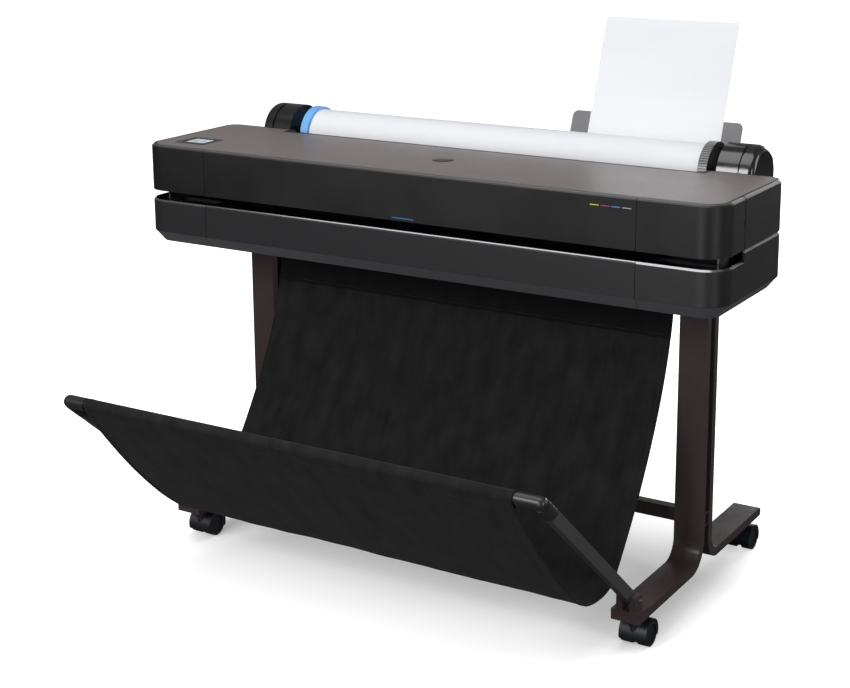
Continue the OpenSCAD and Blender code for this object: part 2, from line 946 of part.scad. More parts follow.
module rear_bar(side) {
    translate([side * leg_x, back(rear_bar_back + bar_t), 0])
        mirror([0, 1, 0])
            leg_bar(rear_bend, rear_reach - cap_t, rear_bar_back + bar_t - caster_rear_back);
}

module left_leg_front_bar() {
    front_bar(-1);
}

module left_leg_rear_bar() {
    rear_bar(-1);
}

module right_leg_front_bar() {
    front_bar(1);
}

module right_leg_rear_bar() {
    rear_bar(1);
}

module crossbar() {
    x1 = leg_x + bar_w / 2;
    s = [gap_back + seat, rear_bar_back - seat];
    z = [crossbar_z - crossbar_h / 2, crossbar_z + crossbar_h / 2];
    color(leg_paint)
        difference() {
            span([-x1, x1], s, z);
            span([-x1 - over, x1 + over], [s[0] + 2, s[1] - 2], [z[0] + 2, z[1] - 2]);
        }
}

// Cap on the front foot with two fingers that hold the bin arm's pivot
module foot_brackets() {
    slot_w = arm_t + 1.2;
    finger_w = 12;
    finger_r = 11;
    top = foot_z + bar_t + seat;
    s0 = foot_front_back;
    color(leg_paint)
        for (side = [-1, 1])
            translate([side * leg_x, 0, 0])
                difference() {
                    union() {
                        span([-bar_w / 2, bar_w / 2], [s0, s0 + bracket_t - seat], [foot_z, top + 3]);
                        span([-bar_w / 2, bar_w / 2], [s0, -pivot_ahead + 20], [top, top + 3]);
                        for (x = [-slot_w / 2 - finger_w, slot_w / 2]) {
                            span(
                                [x, x + finger_w], [s0 + 2, -pivot_ahead + finger_r],
                                [top, pivot_z]
                            );
                            bar_x(x, x + finger_w, -pivot_ahead, pivot_z, finger_r);
                            span(
                                [x, x + finger_w], [s0 + 2, -pivot_ahead],
                                [top, pivot_z + finger_r]
                            );
                        }
                    }
                    bar_x(-bar_w, bar_w, -pivot_ahead, pivot_z, pivot_r);
                }
}

module rear_foot_caps() {
    s1 = foot_end_back;
    color(dark_plastic)
        for (side = [-1, 1])
            translate([side * leg_x - bar_w / 2, 0, 0])
                rotate([90, 0, 90])
                    linear_extrude(bar_w)
                        polygon([
                            [back(s1 - cap_t + seat), foot_z], [back(s1), foot_z + 2],
                            [back(s1), foot_z + bar_t - 4], [back(s1 - cap_t + seat), foot_z + bar_t]
                        ]);
}

module leg_top_plates() {
    color(leg_paint)
        for (side = [-1, 1])
            translate([side * leg_x, 0, 0])
                difference() {
                    span(
                        [-bar_w / 2, bar_w / 2],
                        [post_back - 8, rear_bar_back + bar_t + 8],
                        [under_z - top_plate_t + seat, under_z - seat]
                    );
                    for (s = [post_back + bar_t / 2, rear_bar_back + bar_t / 2])
                        translate([0, back(s), under_z - top_plate_t - over])
                            cylinder(r = 3.2, h = top_plate_t + 3);
                }
}

// Bolts through the top plates and into the crossbar, and the bin arms' pivot pins
module stand_bolts() {
    color(steel)
        for (side = [-1, 1])
            translate([side * leg_x, 0, 0]) {
                for (s = [post_back + bar_t / 2, rear_bar_back + bar_t / 2])
                    translate([0, back(s), under_z - top_plate_t - 1]) {
                        cylinder(r = 3, h = top_plate_t + 4);
                        translate([0, 0, top_plate_t + 3.4]) cylinder(r = 6, h = 4);
                    }
                translate([0, back(rear_bar_back + bar_t), crossbar_z])
                    rotate([-90, 0, 0])
                        difference() {
                            cylinder(r = 6, h = 4);
                            translate([0, 0, 2]) cylinder(r = 2.5, h = 3, $fn = 6);
                        }
                bar_x(-bar_w / 2 + 6, bar_w / 2 - 6, -pivot_ahead, pivot_z, pivot_r);
            }
}

// Hood, web and stem of a twin-wheel caster, stem on the Z axis
module caster_fork() {
    hood_r = wheel_r + 4;
    hood_w = web_w + 2 * wheel_w + 1;
    color("#1E2126")
        difference() {
            union() {
                translate([-hood_w / 2, trail, wheel_r]) rotate([0, 90, 0]) cylinder(r = hood_r, h = hood_w);
                translate([0, 0, wheel_r + 4]) cylinder(r = stem_r + 5, h = foot_z - wheel_r - 6);
                translate([0, 0, wheel_r + 4]) cylinder(r = stem_r, h = foot_z - wheel_r + bar_t - 7);
            }
            for (side = [-1, 1])
                translate([side > 0 ? web_w / 2 : -web_w / 2 - wheel_w - 2, trail, wheel_r])
                    rotate([0, 90, 0]) cylinder(r = wheel_r + 1.2, h = wheel_w + 2);
            translate([-hood_w, trail - 2 * hood_r, -hood_r]) cube([2 * hood_w, 4 * hood_r, hood_r + 14]);
            translate([-hood_w / 2 - over, trail, wheel_r])
                rotate([0, 90, 0]) cylinder(r = axle_r + fit, h = hood_w + 2 * over);
        }
}

// Pair of wheels on one axle
module caster_wheels() {
    color("#1E2126") {
        for (side = [-1, 1])
            translate([side > 0 ? web_w / 2 + 0.5 : -web_w / 2 - wheel_w, trail, wheel_r])
                rotate([0, 90, 0])
                    difference() {
                        cylinder(r = wheel_r, h = wheel_w - 0.5);
                        translate([0, 0, side > 0 ? wheel_w - 3 : -over])
                            cylinder(r = wheel_r - 6, h = 3.5);
                    }
        translate([-web_w / 2 - wheel_w / 2, trail, wheel_r])
            rotate([0, 90, 0]) cylinder(r = axle_r, h = web_w + wheel_w);
    }
}

module at_caster(side, s) {
    translate([side * leg_x, back(s), 0]) children();
}

// Frame of the bin arm: X across, Z along the arm from its pivot
module along_arm() {
    translate([0, back(-pivot_ahead), pivot_z]) rotate([90 - arm_rise, 0, 0]) children();
}

arm_top = arm_l - elbow_r - 2;
module bin_arms() {
    color(dark_plastic)
        for (side = [-1, 1])
            translate([side * leg_x, 0, 0])
                along_arm()
                    difference() {
                        union() {
                            translate([-arm_t / 2, -arm_h / 2, 0]) cube([arm_t, arm_h, arm_top]);
                            translate([-arm_t / 2, 0, 0]) rotate([0, 90, 0]) cylinder(r = arm_h / 2, h = arm_t);
                        }
                        translate([-arm_t, 0, 0])
                            rotate([0, 90, 0]) cylinder(r = pivot_r + fit, h = 2 * arm_t);
                    }
}

module bin_rod() {
    color("#2A2A2C") bar_x(-leg_x + 30, leg_x - 30, rod_back, rod_z, rod_r);
}

// Elbow between an arm and the rod
module bin_elbows() {
    socket_l = 44;
    color(dark_plastic)
        for (side = [-1, 1])
            mirror([side < 0 ? 1 : 0, 0, 0])
                difference() {
                    union() {
                        bar_x(fabric_x + 5, leg_x, rod_back, rod_z, elbow_r);
                        translate([leg_x, back(rod_back), rod_z]) sphere(elbow_r);
                        translate([leg_x, 0, 0])
                            along_arm()
                                translate([0, 0, arm_l - socket_l])
                                    cylinder(r = elbow_r + 1, h = socket_l - 4);
                    }
                    bar_x(fabric_x, leg_x - 29, rod_back, rod_z, rod_r + fit);
                    translate([leg_x, 0, 0])
                        along_arm()
                            translate([-arm_t / 2 - seat, -arm_h / 2 - seat, arm_l / 2])
                                cube([arm_t + 2 * seat, arm_h + 2 * seat, arm_top - arm_l / 2 + 0.5]);
                }
}

// The fabric's line from the rail under the body down to the trough, along it, and up to the rod
hang_back = 240;
trough_a = [-8, 122];
trough_b = [-145, 123];
sleeve_r = rod_r + 0.4 + fabric_t / 2;
rod_dir = unit([-0.555, 0.832]);
rod_touch = [rod_back, rod_z] - left_of(rod_dir) * -sleeve_r;
back_line = [
    [hang_back, under_z - 1], [hang_back, under_z - 164], trough_a + [133, 153], trough_a
];
floor_line = [trough_a, trough_a - [24, 27], trough_b + [28, -21], trough_b];
front_line = [trough_b, trough_b + [-91, 61], rod_touch - rod_dir * 100, rod_touch];

// Strip of fabric across the bin along points of [back, z]
module fabric_strip(pts) {
    translate([-fabric_x, front_y, 0])
        rotate([90, 0, 90]) linear_extrude(2 * fabric_x) polygon(strip(pts, fabric_t));
}

module fabric_back() {
    color("#1D1D1D")
        fabric_strip(concat(curve(back_line, 0, 1, 10), curve(floor_line, 0.08, 0.32, 3)));
}

module fabric_front() {
    color("#1D1D1D") {
        fabric_strip(concat(curve(floor_line, 0.38, 1, 5), curve(front_line, 0.1, 1, 9)));
        difference() {
            bar_x(-fabric_x, fabric_x, rod_back, rod_z, sleeve_r + fabric_t / 2);
            bar_x(-fabric_x - over, fabric_x + over, rod_back, rod_z, sleeve_r - fabric_t / 2);
        }
    }
}

module fabric_rail() {
    s0 = hang_back + fabric_t / 2 + seat;
    color(steel) span([-fabric_x, fabric_x], [s0, s0 + rail_s], [under_z - rail_s, under_z - seat]);
}

top_cover();
upper_left_cover();
window();
ink_door();
upper_right_cover();
upper_rear_cover();
lower_left_cover();
lower_front_panel();
lower_right_cover();
rear_housing();
base_pan();
exit_platen();
hinge_pins();
touchscreen_bezel();
touchscreen();
roll_support_left();
roll_support_right();
spindle();
spindle_journals();
blue_stop();
ribbed_hub();
paper_roll();
sheet_tray();
paper_sheet();
side_plates();
carriage_rod();
carriage();
print_heads();
carriage_belt();
drive_pulley();
idler_pulley();
feed_roller();
pinch_rollers();
ink_cartridges();
service_station();
main_board();
power_inlet();
left_leg_front_bar();
left_leg_rear_bar();
right_leg_front_bar();
right_leg_rear_bar();
crossbar();
foot_brackets();
rear_foot_caps();
leg_top_plates();
stand_bolts();
at_caster(-1, caster_front_back) caster_fork();  // caster_fork_front_left
at_caster(1, caster_front_back) caster_fork();  // caster_fork_front_right
at_caster(-1, caster_rear_back) caster_fork();  // caster_fork_rear_left
at_caster(1, caster_rear_back) caster_fork();  // caster_fork_rear_right
at_caster(-1, caster_front_back) caster_wheels();  // caster_wheels_front_left
at_caster(1, caster_front_back) caster_wheels();  // caster_wheels_front_right
at_caster(-1, caster_rear_back) caster_wheels();  // caster_wheels_rear_left
at_caster(1, caster_rear_back) caster_wheels();  // caster_wheels_rear_right
bin_arms();
bin_rod();
bin_elbows();
fabric_back();
fabric_front();
fabric_rail();
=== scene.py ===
# %% [markdown]
# A large format plotter: the looks.
# The CAD model is the fixed frame. This lesson gives each part its real finish, the loose
# paper too, sews the fabric bin and lights it all. Everything is in metres, +Z up.

# %% Load the frame
import math

import bpy
from mathutils import Matrix, Vector, noise


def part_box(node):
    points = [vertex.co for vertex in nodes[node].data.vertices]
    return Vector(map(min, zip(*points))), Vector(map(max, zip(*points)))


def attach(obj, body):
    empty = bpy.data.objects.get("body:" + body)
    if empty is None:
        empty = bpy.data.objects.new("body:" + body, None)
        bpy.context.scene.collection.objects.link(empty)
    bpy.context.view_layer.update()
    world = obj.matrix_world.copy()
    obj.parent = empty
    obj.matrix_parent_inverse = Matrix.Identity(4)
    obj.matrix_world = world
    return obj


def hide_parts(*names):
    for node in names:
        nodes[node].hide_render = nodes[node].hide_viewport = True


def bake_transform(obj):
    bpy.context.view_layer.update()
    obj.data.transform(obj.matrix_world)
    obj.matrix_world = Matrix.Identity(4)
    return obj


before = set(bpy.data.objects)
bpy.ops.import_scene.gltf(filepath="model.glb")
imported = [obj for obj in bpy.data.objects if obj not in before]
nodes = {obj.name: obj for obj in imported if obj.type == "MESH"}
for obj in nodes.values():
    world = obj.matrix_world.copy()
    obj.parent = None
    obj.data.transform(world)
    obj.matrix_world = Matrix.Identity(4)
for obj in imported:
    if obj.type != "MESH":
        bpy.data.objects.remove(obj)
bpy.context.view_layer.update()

MM = 0.001

# %% [markdown]
# Colours are written as the hex codes that a paint chart gives. Blender's shaders work with
# linear light, so one function turns the codes into linear numbers.
# A second small function adds one shader node with its settings and links, so that each
# material below reads as a short list of what its surface is made of. A third lays colours
# over each other, as a painter does with a stencil: each shows where its own mask is 1.

# %% Colour and node helpers
def linear(code):
    """An sRGB hex colour as linear red, green, blue and full alpha."""
    parts = [int(code[i:i + 2], 16) / 255 for i in (1, 3, 5)]
    light = [c / 12.92 if c <= 0.04045 else ((c + 0.055) / 1.055) ** 2.4 for c in parts]
    return (*light, 1.0)


def add(material, kind, inputs=None, **settings):
    """Adds one node, sets it up, and links or fills its inputs."""
    made = material.node_tree.nodes.new("ShaderNode" + kind)
    for key, value in settings.items():
        setattr(made, key, value)
    for key, value in (inputs or {}).items():
        if isinstance(value, bpy.types.NodeSocket):
            material.node_tree.links.new(value, made.inputs[key])
        else:
            made.inputs[key].default_value = linear(value) if isinstance(value, str) else value
    return made


def new_finish(name, code, **sockets):
    """A material with one shader: its colour, and any other even values, on its own sockets."""
    material = bpy.data.materials.new(name)
    material.use_nodes = True
    shader = material.node_tree.nodes["Principled BSDF"]
    shader.inputs["Base Color"].default_value = linear(code)
    for key, value in sockets.items():
        shader.inputs[key.replace("_", " ")].default_value = value
    return material, shader


def join(material, source, target):
    """Links an output socket to an input socket."""
    material.node_tree.links.new(source, target)


def layered(material, base, *layers):
    """A base colour with others laid over it in turn, each given as (mask, colour)."""
    colour = base
    for mask, over in layers:
        colour = add(material, "Mix", {
            "Factor": mask, "A": colour, "B": over,
        }, data_type="RGBA").outputs["Result"]
    return colour


def paint(material, *names):
    """Gives a material to CAD nodes."""
    for name in names:
        slots = nodes[name].data.materials
        slots.clear()
        slots.append(material)
    print(f"{material.name}: {len(names)} CAD nodes")


print("mid grey #808080 is", round(linear("#808080")[0], 3), "in linear light")
# %% [markdown]
# Moulded plastic gets its look from the steel mould, which is spark-eroded to a fine grain.
# The grain breaks up the reflection, and the surface is never quite even. Paint is uneven
# in the same broad way. So there are two recipes: a broad soft noise that shifts colour and
# roughness slightly, and a fine noise that stands for the grain as a bump. Real grain is
# 0.1 to 0.2 mm across; here it is drawn 0.5 to 2.5 mm across, as coarse as it needs to show.

# %% Moulded ABS
PATCHES = 7.0  # soft patches to the metre


def uneven(material, shader, code, spread=0.12, roughness=None):
    """Slow changes of tone, and of roughness where its two ends are given."""
    place = add(material, "TexCoord").outputs["Object"]
    broad = add(material, "TexNoise", {
        "Vector": place, "Scale": PATCHES, "Detail": 3.0,
    }).outputs["Fac"]
    dark, light = (
        tuple(c * share for c in linear(code)[:3]) + (1.0,) for share in (1 - spread, 1 + spread)
    )
    tone = layered(material, dark, (broad, light))
    join(material, tone, shader.inputs["Base Color"])
    if roughness:
        gloss = add(material, "MapRange", {
            "Value": broad, "From Min": 0.3, "From Max": 0.7,
            "To Min": roughness[0], "To Max": roughness[1],
        })
        join(material, gloss.outputs["Result"], shader.inputs["Roughness"])
    return place, tone


def grain(material, shader, place, size_mm, height_mm):
    """The mould's fine grain, as a bump."""
    fine = add(material, "TexNoise", {
        "Vector": place, "Scale": 1 / (size_mm * MM), "Detail": 2.0,
    })
    bump = add(material, "Bump", {
        "Height": fine.outputs["Fac"], "Distance": height_mm * MM, "Strength": 0.5,
    })
    join(material, bump.outputs["Normal"], shader.inputs["Normal"])


def moulded(name, code, size_mm=0.9, height_mm=0.03, roughness=(0.4, 0.5), **sockets):
    """A plain moulded plastic."""
    material, shader = new_finish(name, code, IOR=1.53, **sockets)
    place, _ = uneven(material, shader, code, roughness=roughness)
    grain(material, shader, place, size_mm, height_mm)
    return material


window_low, window_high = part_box("window")
top_z = window_high.z
front_y = window_low.y
under_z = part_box("lower_front_panel")[0].z
slot_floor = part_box("exit_platen")[1].z + 1 * MM
seam_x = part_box("upper_right_cover")[0].x
print("front face at y", round(front_y, 4), "and the slot's floor at z", round(slot_floor, 4))

# %% [markdown]
# The shell panels are black ABS. Two of their edges catch the light: the bevel along the
# top, and the polished lip under the paper slot. Their brightness is a painted highlight, a
# paler colour laid on them. The lower front also has a moulded hatch of fine slanted ribs,
# and below it a chamfer painted paler as painted bounce light from the floor. All of this
# follows from where a point is and which way it faces, so masks made from position and normal
# choose the colour and finish, and the panels stay whole. These small functions make such
# masks and put them together.

# %% Masks
def step(material, value, edge, width, low=0.0, high=1.0):
    """Goes from low below the edge to high above it, within the given width."""
    return add(material, "MapRange", {
        "Value": value, "From Min": edge - width / 2, "From Max": edge + width / 2,
        "To Min": low, "To Max": high,
    }).outputs["Result"]


def both(material, *factors):
    """The product of several masks."""
    product = factors[0]
    for factor in factors[1:]:
        product = add(material, "Math", {0: product, 1: factor}, operation="MULTIPLY").outputs[0]
    return product


def where_and_facing(material):
    """The X, Y and Z of each point, and of the way that its surface faces."""
    coordinates = add(material, "TexCoord").outputs
    return (add(material, "SeparateXYZ", {"Vector": coordinates["Object"]}).outputs,
            add(material, "SeparateXYZ", {"Vector": coordinates["Normal"]}).outputs)


def slanted(material, facing):
    """1 where the surface leans upwards without being level."""
    return both(material, step(material, facing["Z"], 0.3, 0.1),
                step(material, facing["Z"], 0.95, 0.06, 1, 0))


print("body from", round(under_z, 3), "to", round(top_z, 3), "m above the floor")

# %% [markdown]
# The upper panels need only the bevel: a strip a few millimetres high where the surface
# leans upwards, close under the top. It would catch the light; its dark grey is a painted
# highlight.

# %% Upper shell panels
SHELL = "#101011"
BEVEL = 2.4 * MM


def bevelled_shell():
    """Black shell plastic with a painted highlight on the bevel along the top."""
    material, shader = new_finish("black ABS shell", SHELL, IOR=1.53)
    place, tone = uneven(material, shader, SHELL, roughness=(0.36, 0.46))
    grain(material, shader, place, 0.8, 0.02)
    where, facing = where_and_facing(material)
    # Painted highlight: the bevel strip is coloured dark grey where the light would catch it.
    bevel_highlight = both(material, slanted(material, facing),
                 step(material, where["Z"], top_z - BEVEL, MM))
    join(material, layered(material, tone, (bevel_highlight, "#4A4A4C")), shader.inputs["Base Color"])
    return material


paint(bevelled_shell(), "upper_left_cover", "window", "ink_door", "upper_right_cover",
      "upper_rear_cover")

# %% [markdown]
# The lower panels have the lip, the hatch and the chamfer. The lip is thicker beyond the
# seams than along the slot. The ribs lean at 45 degrees, so X minus Z counts them. The real
# ones are too fine to show, so the hatch is drawn coarser, with a pitch of 3.3 mm. Blender's
# wave bands repeat every tau / 20 at a scale of 1.

# %% Lower shell panels
LIP_THIN, LIP_THICK = 1.8 * MM, 3.4 * MM
LIP_ROOM = 5 * MM
CHAMFER = 24 * MM
HATCH_PITCH = 3.3 * MM


def bands(pitch):
    """The Wave texture's scale that repeats its bands at this pitch."""
    return math.tau / (20 * pitch)


def lip_polish_and_highlight_mask(material, where, facing):
    """1 on the polished lip under the slot, which gets a painted highlight."""
    sideways = add(material, "Math", {0: where["X"]}, operation="ABSOLUTE").outputs[0]
    depth = add(material, "MapRange", {
        "Value": step(material, sideways, seam_x, 2 * MM), "To Min": LIP_THIN, "To Max": LIP_THICK,
    }).outputs["Result"]
    below = add(material, "Math", {0: slot_floor, 1: where["Z"]}, operation="SUBTRACT").outputs[0]
    near = add(material, "Math", {0: below, 1: depth}, operation="LESS_THAN").outputs[0]
    return both(material, slanted(material, facing), near,
                step(material, facing["Y"], -0.45, 0.3, 1, 0),
                step(material, where["Z"], slot_floor - LIP_ROOM - MM, MM))


def ribbed_shell():
    """Black shell plastic with a painted highlight on its polished lip, a ribbed front and painted
    bounce light on its chamfer.
    """
    material, shader = new_finish("black ABS shell with ribbed front", SHELL, IOR=1.53)
    _, tone = uneven(material, shader, SHELL)
    where, facing = where_and_facing(material)
    lip_polish_and_highlight = lip_polish_and_highlight_mask(material, where, facing)
    face = both(material, step(material, facing["Y"], -0.72, 0.3, 1, 0),
                step(material, where["Z"], under_z + CHAMFER + 0.5 * MM, MM),
                step(material, where["Z"], slot_floor - LIP_ROOM, MM, 1, 0))
    along = add(material, "Math", {0: where["X"], 1: where["Z"]}, operation="SUBTRACT").outputs[0]
    ribs = add(material, "TexWave", {
        "Vector": add(material, "CombineXYZ", {"X": along}).outputs[0],
        "Scale": bands(math.sqrt(2) * HATCH_PITCH),
    }, wave_type="BANDS", bands_direction="X", wave_profile="SIN").outputs["Fac"]
    rib_tone = layered(material, "#010101", (ribs, "#2F2F32"))
    # Painted light: the chamfer is painted a paler grey for the light thrown up from the floor.
    under = step(material, where["Z"], under_z + CHAMFER, MM, 1, 0)
    # Over the tone: the ribs, painted bounce light on the chamfer and a painted highlight on the
    # lip.
    colour = layered(material, tone, (face, rib_tone), (under, "#56565A"), (lip_polish_and_highlight, "#9A9A9E"))
    join(material, colour, shader.inputs["Base Color"])
    height = both(material, ribs, face)
    bump = add(material, "Bump", {"Height": height, "Distance": 0.35 * MM, "Strength": 0.6})
    join(material, bump.outputs["Normal"], shader.inputs["Normal"])
    # The lip's low roughness is its real polish; its metallic pale grey is a painted highlight.
    gloss = add(material, "MapRange", {"Value": lip_polish_and_highlight, "To Min": 0.42, "To Max": 0.2})
    join(material, gloss.outputs["Result"], shader.inputs["Roughness"])
    join(material, lip_polish_and_highlight, shader.inputs["Metallic"])
    return material


paint(ribbed_shell(), "lower_left_cover", "lower_front_panel", "lower_right_cover")
paint(moulded("black ABS housing", "#19191A", roughness=(0.42, 0.52)), "rear_housing")

# %% [markdown]
# The top cover is ABS with a taupe paint that has very fine metal flakes in it. Flakes give
# small bright specks and a sheen that shifts with the light. A fine Voronoi pattern stands
# for the flakes, drawn coarser than the real 0.1 mm so that it can be seen.

# %% Flake paint on the top cover
def flake_paint():
    """Satin taupe paint with fine flakes."""
    material, shader = new_finish("satin taupe flake paint", "#857C7B", IOR=1.5, Metallic=0.25)
    place, tone = uneven(material, shader, "#817877", spread=0.06, roughness=(0.32, 0.4))
    grain(material, shader, place, 1.2, 0.02)
    flakes = add(material, "TexVoronoi", {"Vector": place, "Scale": 1 / (1.6 * MM)})
    glint = add(material, "MapRange", {
        "Value": add(material, "SeparateColor", {"Color": flakes.outputs["Color"]}).outputs["Red"],
        "From Min": 0.55, "From Max": 1.0, "To Min": 0.0, "To Max": 0.35,
    })
    colour = layered(material, tone, (glint.outputs["Result"], "#A39C99"))
    join(material, colour, shader.inputs["Base Color"])
    return material


paint(flake_paint(), "top_cover")

# %% [markdown]
# The stand is powder-coated steel: dry paint is baked until it flows. It keeps a faint
# orange-peel waviness a few millimetres across, with a finer texture on top, and a
# brown-black colour that only shows where light strikes it.

# %% Powder-coated steel
POWDER = "#403536"


def powder_coat():
    """Brown-black powder coat with orange peel."""
    material, shader = new_finish("brown-black powder coat", POWDER, IOR=1.5)
    place, _ = uneven(material, shader, POWDER, roughness=(0.22, 0.32))
    peel = add(material, "TexNoise", {"Vector": place, "Scale": 1 / (3.5 * MM), "Detail": 1.0})
    fine = add(material, "TexNoise", {"Vector": place, "Scale": 1 / (0.6 * MM), "Detail": 1.0})
    soft = add(material, "Bump", {
        "Height": peel.outputs["Fac"], "Distance": 0.08 * MM, "Strength": 0.5,
    })
    crisp = add(material, "Bump", {
        "Height": fine.outputs["Fac"], "Distance": 0.03 * MM, "Strength": 0.5,
        "Normal": soft.outputs["Normal"],
    })
    join(material, crisp.outputs["Normal"], shader.inputs["Normal"])
    return material


paint(powder_coat(), "left_leg_front_bar", "left_leg_rear_bar", "right_leg_front_bar",
      "right_leg_rear_bar", "crossbar", "foot_brackets", "leg_top_plates")

# %% [markdown]
# Small mouldings each get their own plastic: dark grey nylon for the bin's arms, a darker
# one for its elbows, polished black for the roll supports, sky blue for the stop, mid grey
# for the tray, and blue-black nylon for the casters. Only the numbers differ, so they share
# one recipe.

# %% Small mouldings
paint(moulded("dark grey nylon", "#434345", roughness=(0.36, 0.46)), "bin_arms")
paint(moulded("black nylon", "#222223", roughness=(0.28, 0.38)),
      "bin_elbows", "bin_rod", "rear_foot_caps")
paint(moulded("polished black ABS", "#0C0C0D", size_mm=2.5, height_mm=0.02,
              roughness=(0.14, 0.22), Specular_IOR_Level=0.85),
      "roll_support_left", "roll_support_right", "touchscreen_bezel", "exit_platen",
      "power_inlet")
paint(moulded("sky blue ABS", "#6CB0EE", roughness=(0.3, 0.4)), "blue_stop")
paint(moulded("mid grey ABS", "#68686B", roughness=(0.45, 0.55)), "sheet_tray")
caster_nylon = moulded("blue-black nylon", "#12151A", roughness=(0.45, 0.58))
paint(caster_nylon, *[n for n in nodes if n.startswith("caster_")])
paint(moulded("black journal nylon", "#1C1C1E", roughness=(0.35, 0.45)),
      "spindle", "spindle_journals", "carriage", "print_heads", "service_station")

# %% [markdown]
# The hub at the roll's right end is moulded with ribs for the fingers. Its ribs are in the
# mesh; their tips get a painted highlight, so the colour brightens with the distance from the
# axis.

# %% Ribbed hub
hub_low, hub_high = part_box("ribbed_hub")
axis_y = (hub_low.y + hub_high.y) / 2
axis_z = (hub_low.z + hub_high.z) / 2
hub_r = (hub_high.y - hub_low.y) / 2


def from_axis(material, place):
    """How far a point is from the roll's axis."""
    middle = add(material, "VectorMath", {0: place, 1: (0, axis_y, axis_z)}, operation="SUBTRACT")
    flat = add(material, "VectorMath", {0: middle.outputs[0], 1: (0, 1, 1)}, operation="MULTIPLY")
    return add(material, "VectorMath", {0: flat.outputs[0]}, operation="LENGTH").outputs["Value"]


def hub_finish():
    """Black plastic with a painted highlight on the rib tips."""
    material, shader = new_finish("ribbed black ABS", "#0C0C0D", IOR=1.53)
    place, tone = uneven(material, shader, "#0C0C0D", roughness=(0.3, 0.4))
    grain(material, shader, place, 0.8, 0.02)
    # Painted highlight: the rib tips are painted lighter, where they would catch the light.
    rib_tip_highlight = step(material, from_axis(material, place), hub_r - 0.6 * MM, 0.6 * MM)
    join(material, layered(material, tone, (rib_tip_highlight, "#7A7A7C")), shader.inputs["Base Color"])
    return material


paint(hub_finish(), "ribbed_hub")

# %% [markdown]
# Metal parts inside: zinc-plated steel has a faint crystal mottle, the ground rod is almost
# a mirror with marks that run round it, and rubber rollers are dull with ground rings.

# %% Metals and rubber
def zinc_plate():
    """Zinc-plated sheet with a soft spangle."""
    material, shader = new_finish("zinc-plated steel", "#A7A9AC", Metallic=1.0)
    place = add(material, "TexCoord").outputs["Object"]
    spangle = add(material, "TexVoronoi", {"Vector": place, "Scale": 1 / (9 * MM)})
    crystals = add(material, "SeparateColor", {"Color": spangle.outputs["Color"]})
    gloss = add(material, "MapRange", {
        "Value": crystals.outputs["Green"], "To Min": 0.28, "To Max": 0.45,
    })
    join(material, gloss.outputs["Result"], shader.inputs["Roughness"])
    tone = layered(material, "#B5B7BA", (gloss.outputs["Result"], "#7E8184"))
    join(material, tone, shader.inputs["Base Color"])
    return material


def turned(name, code, metallic, roughness, pitch_mm, height_mm):
    """A surface ground or turned on a lathe, with fine rings round the X axis."""
    material, shader = new_finish(name, code, Metallic=metallic)
    place = add(material, "TexCoord").outputs["Object"]
    squeezed = add(material, "Mapping", {"Vector": place, "Scale": (1 / (pitch_mm * MM), 8, 8)})
    rings = add(material, "TexNoise", {"Vector": squeezed.outputs[0], "Scale": 1.0})
    bump = add(material, "Bump", {
        "Height": rings.outputs["Fac"], "Distance": height_mm * MM, "Strength": 0.4,
    })
    join(material, bump.outputs["Normal"], shader.inputs["Normal"])
    gloss = add(material, "MapRange", {
        "Value": rings.outputs["Fac"], "To Min": roughness * 0.8, "To Max": roughness * 1.25,
    })
    join(material, gloss.outputs["Result"], shader.inputs["Roughness"])
    return material


paint(zinc_plate(), "base_pan", "side_plates", "stand_bolts", "fabric_rail", "hinge_pins",
      "drive_pulley", "idler_pulley")
paint(turned("ground chrome steel", "#C9CBCE", 1.0, 0.12, 0.4, 0.01), "carriage_rod")
paint(turned("ground rubber", "#26282A", 0.0, 0.7, 0.8, 0.05),
      "feed_roller", "pinch_rollers", "carriage_belt")

# %% [markdown]
# Behind the ink door sit four cartridges in the printer's four inks, and inside is a green
# circuit board with tracks under its solder mask. Each is coloured by its place.

# %% Inks and circuit board
def ink_blocks():
    """Four cartridges, coloured by their place across the bay."""
    material, shader = new_finish("cartridge polypropylene", "#2A2A2C", IOR=1.5, Roughness=0.35)
    low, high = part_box("ink_cartridges")
    place = add(material, "TexCoord").outputs["Object"]
    across = add(material, "SeparateXYZ", {"Vector": place}).outputs["X"]
    share = add(material, "MapRange", {
        "Value": across, "From Min": low.x, "From Max": high.x + 3 * MM,
    })
    ramp = add(material, "ValToRGB", {"Fac": share.outputs["Result"]})
    ramp.color_ramp.interpolation = "CONSTANT"
    for i, code in enumerate(("#D8C21C", "#B51E72", "#1C86C6", "#242426")):
        stop = ramp.color_ramp.elements[i] if i < 2 else ramp.color_ramp.elements.new(i / 4)
        stop.position = i / 4
        stop.color = linear(code)
    mottle = add(material, "TexNoise", {"Vector": place, "Scale": 60.0})
    join(material, ramp.outputs["Color"], shader.inputs["Base Color"])
    bump = add(material, "Bump", {
        "Height": mottle.outputs["Fac"], "Distance": 0.1 * MM, "Strength": 0.3,
    })
    join(material, bump.outputs["Normal"], shader.inputs["Normal"])
    return material


def circuit_board():
    """Green solder mask over copper tracks."""
    material, shader = new_finish("green solder mask", "#1A5230", IOR=1.5, Roughness=0.3)
    place = add(material, "TexCoord").outputs["Object"]
    upright = add(material, "Mapping", {"Vector": place, "Rotation": (math.pi / 2, 0, 0)})
    tracks = add(material, "TexBrick", {
        "Vector": upright.outputs[0], "Color1": "#1A5230", "Color2": "#174A2B",
        "Mortar": "#2F7A4A", "Scale": 60.0, "Mortar Size": 0.012,
    })
    join(material, tracks.outputs["Color"], shader.inputs["Base Color"])
    return material


paint(ink_blocks(), "ink_cartridges")
paint(circuit_board(), "main_board")

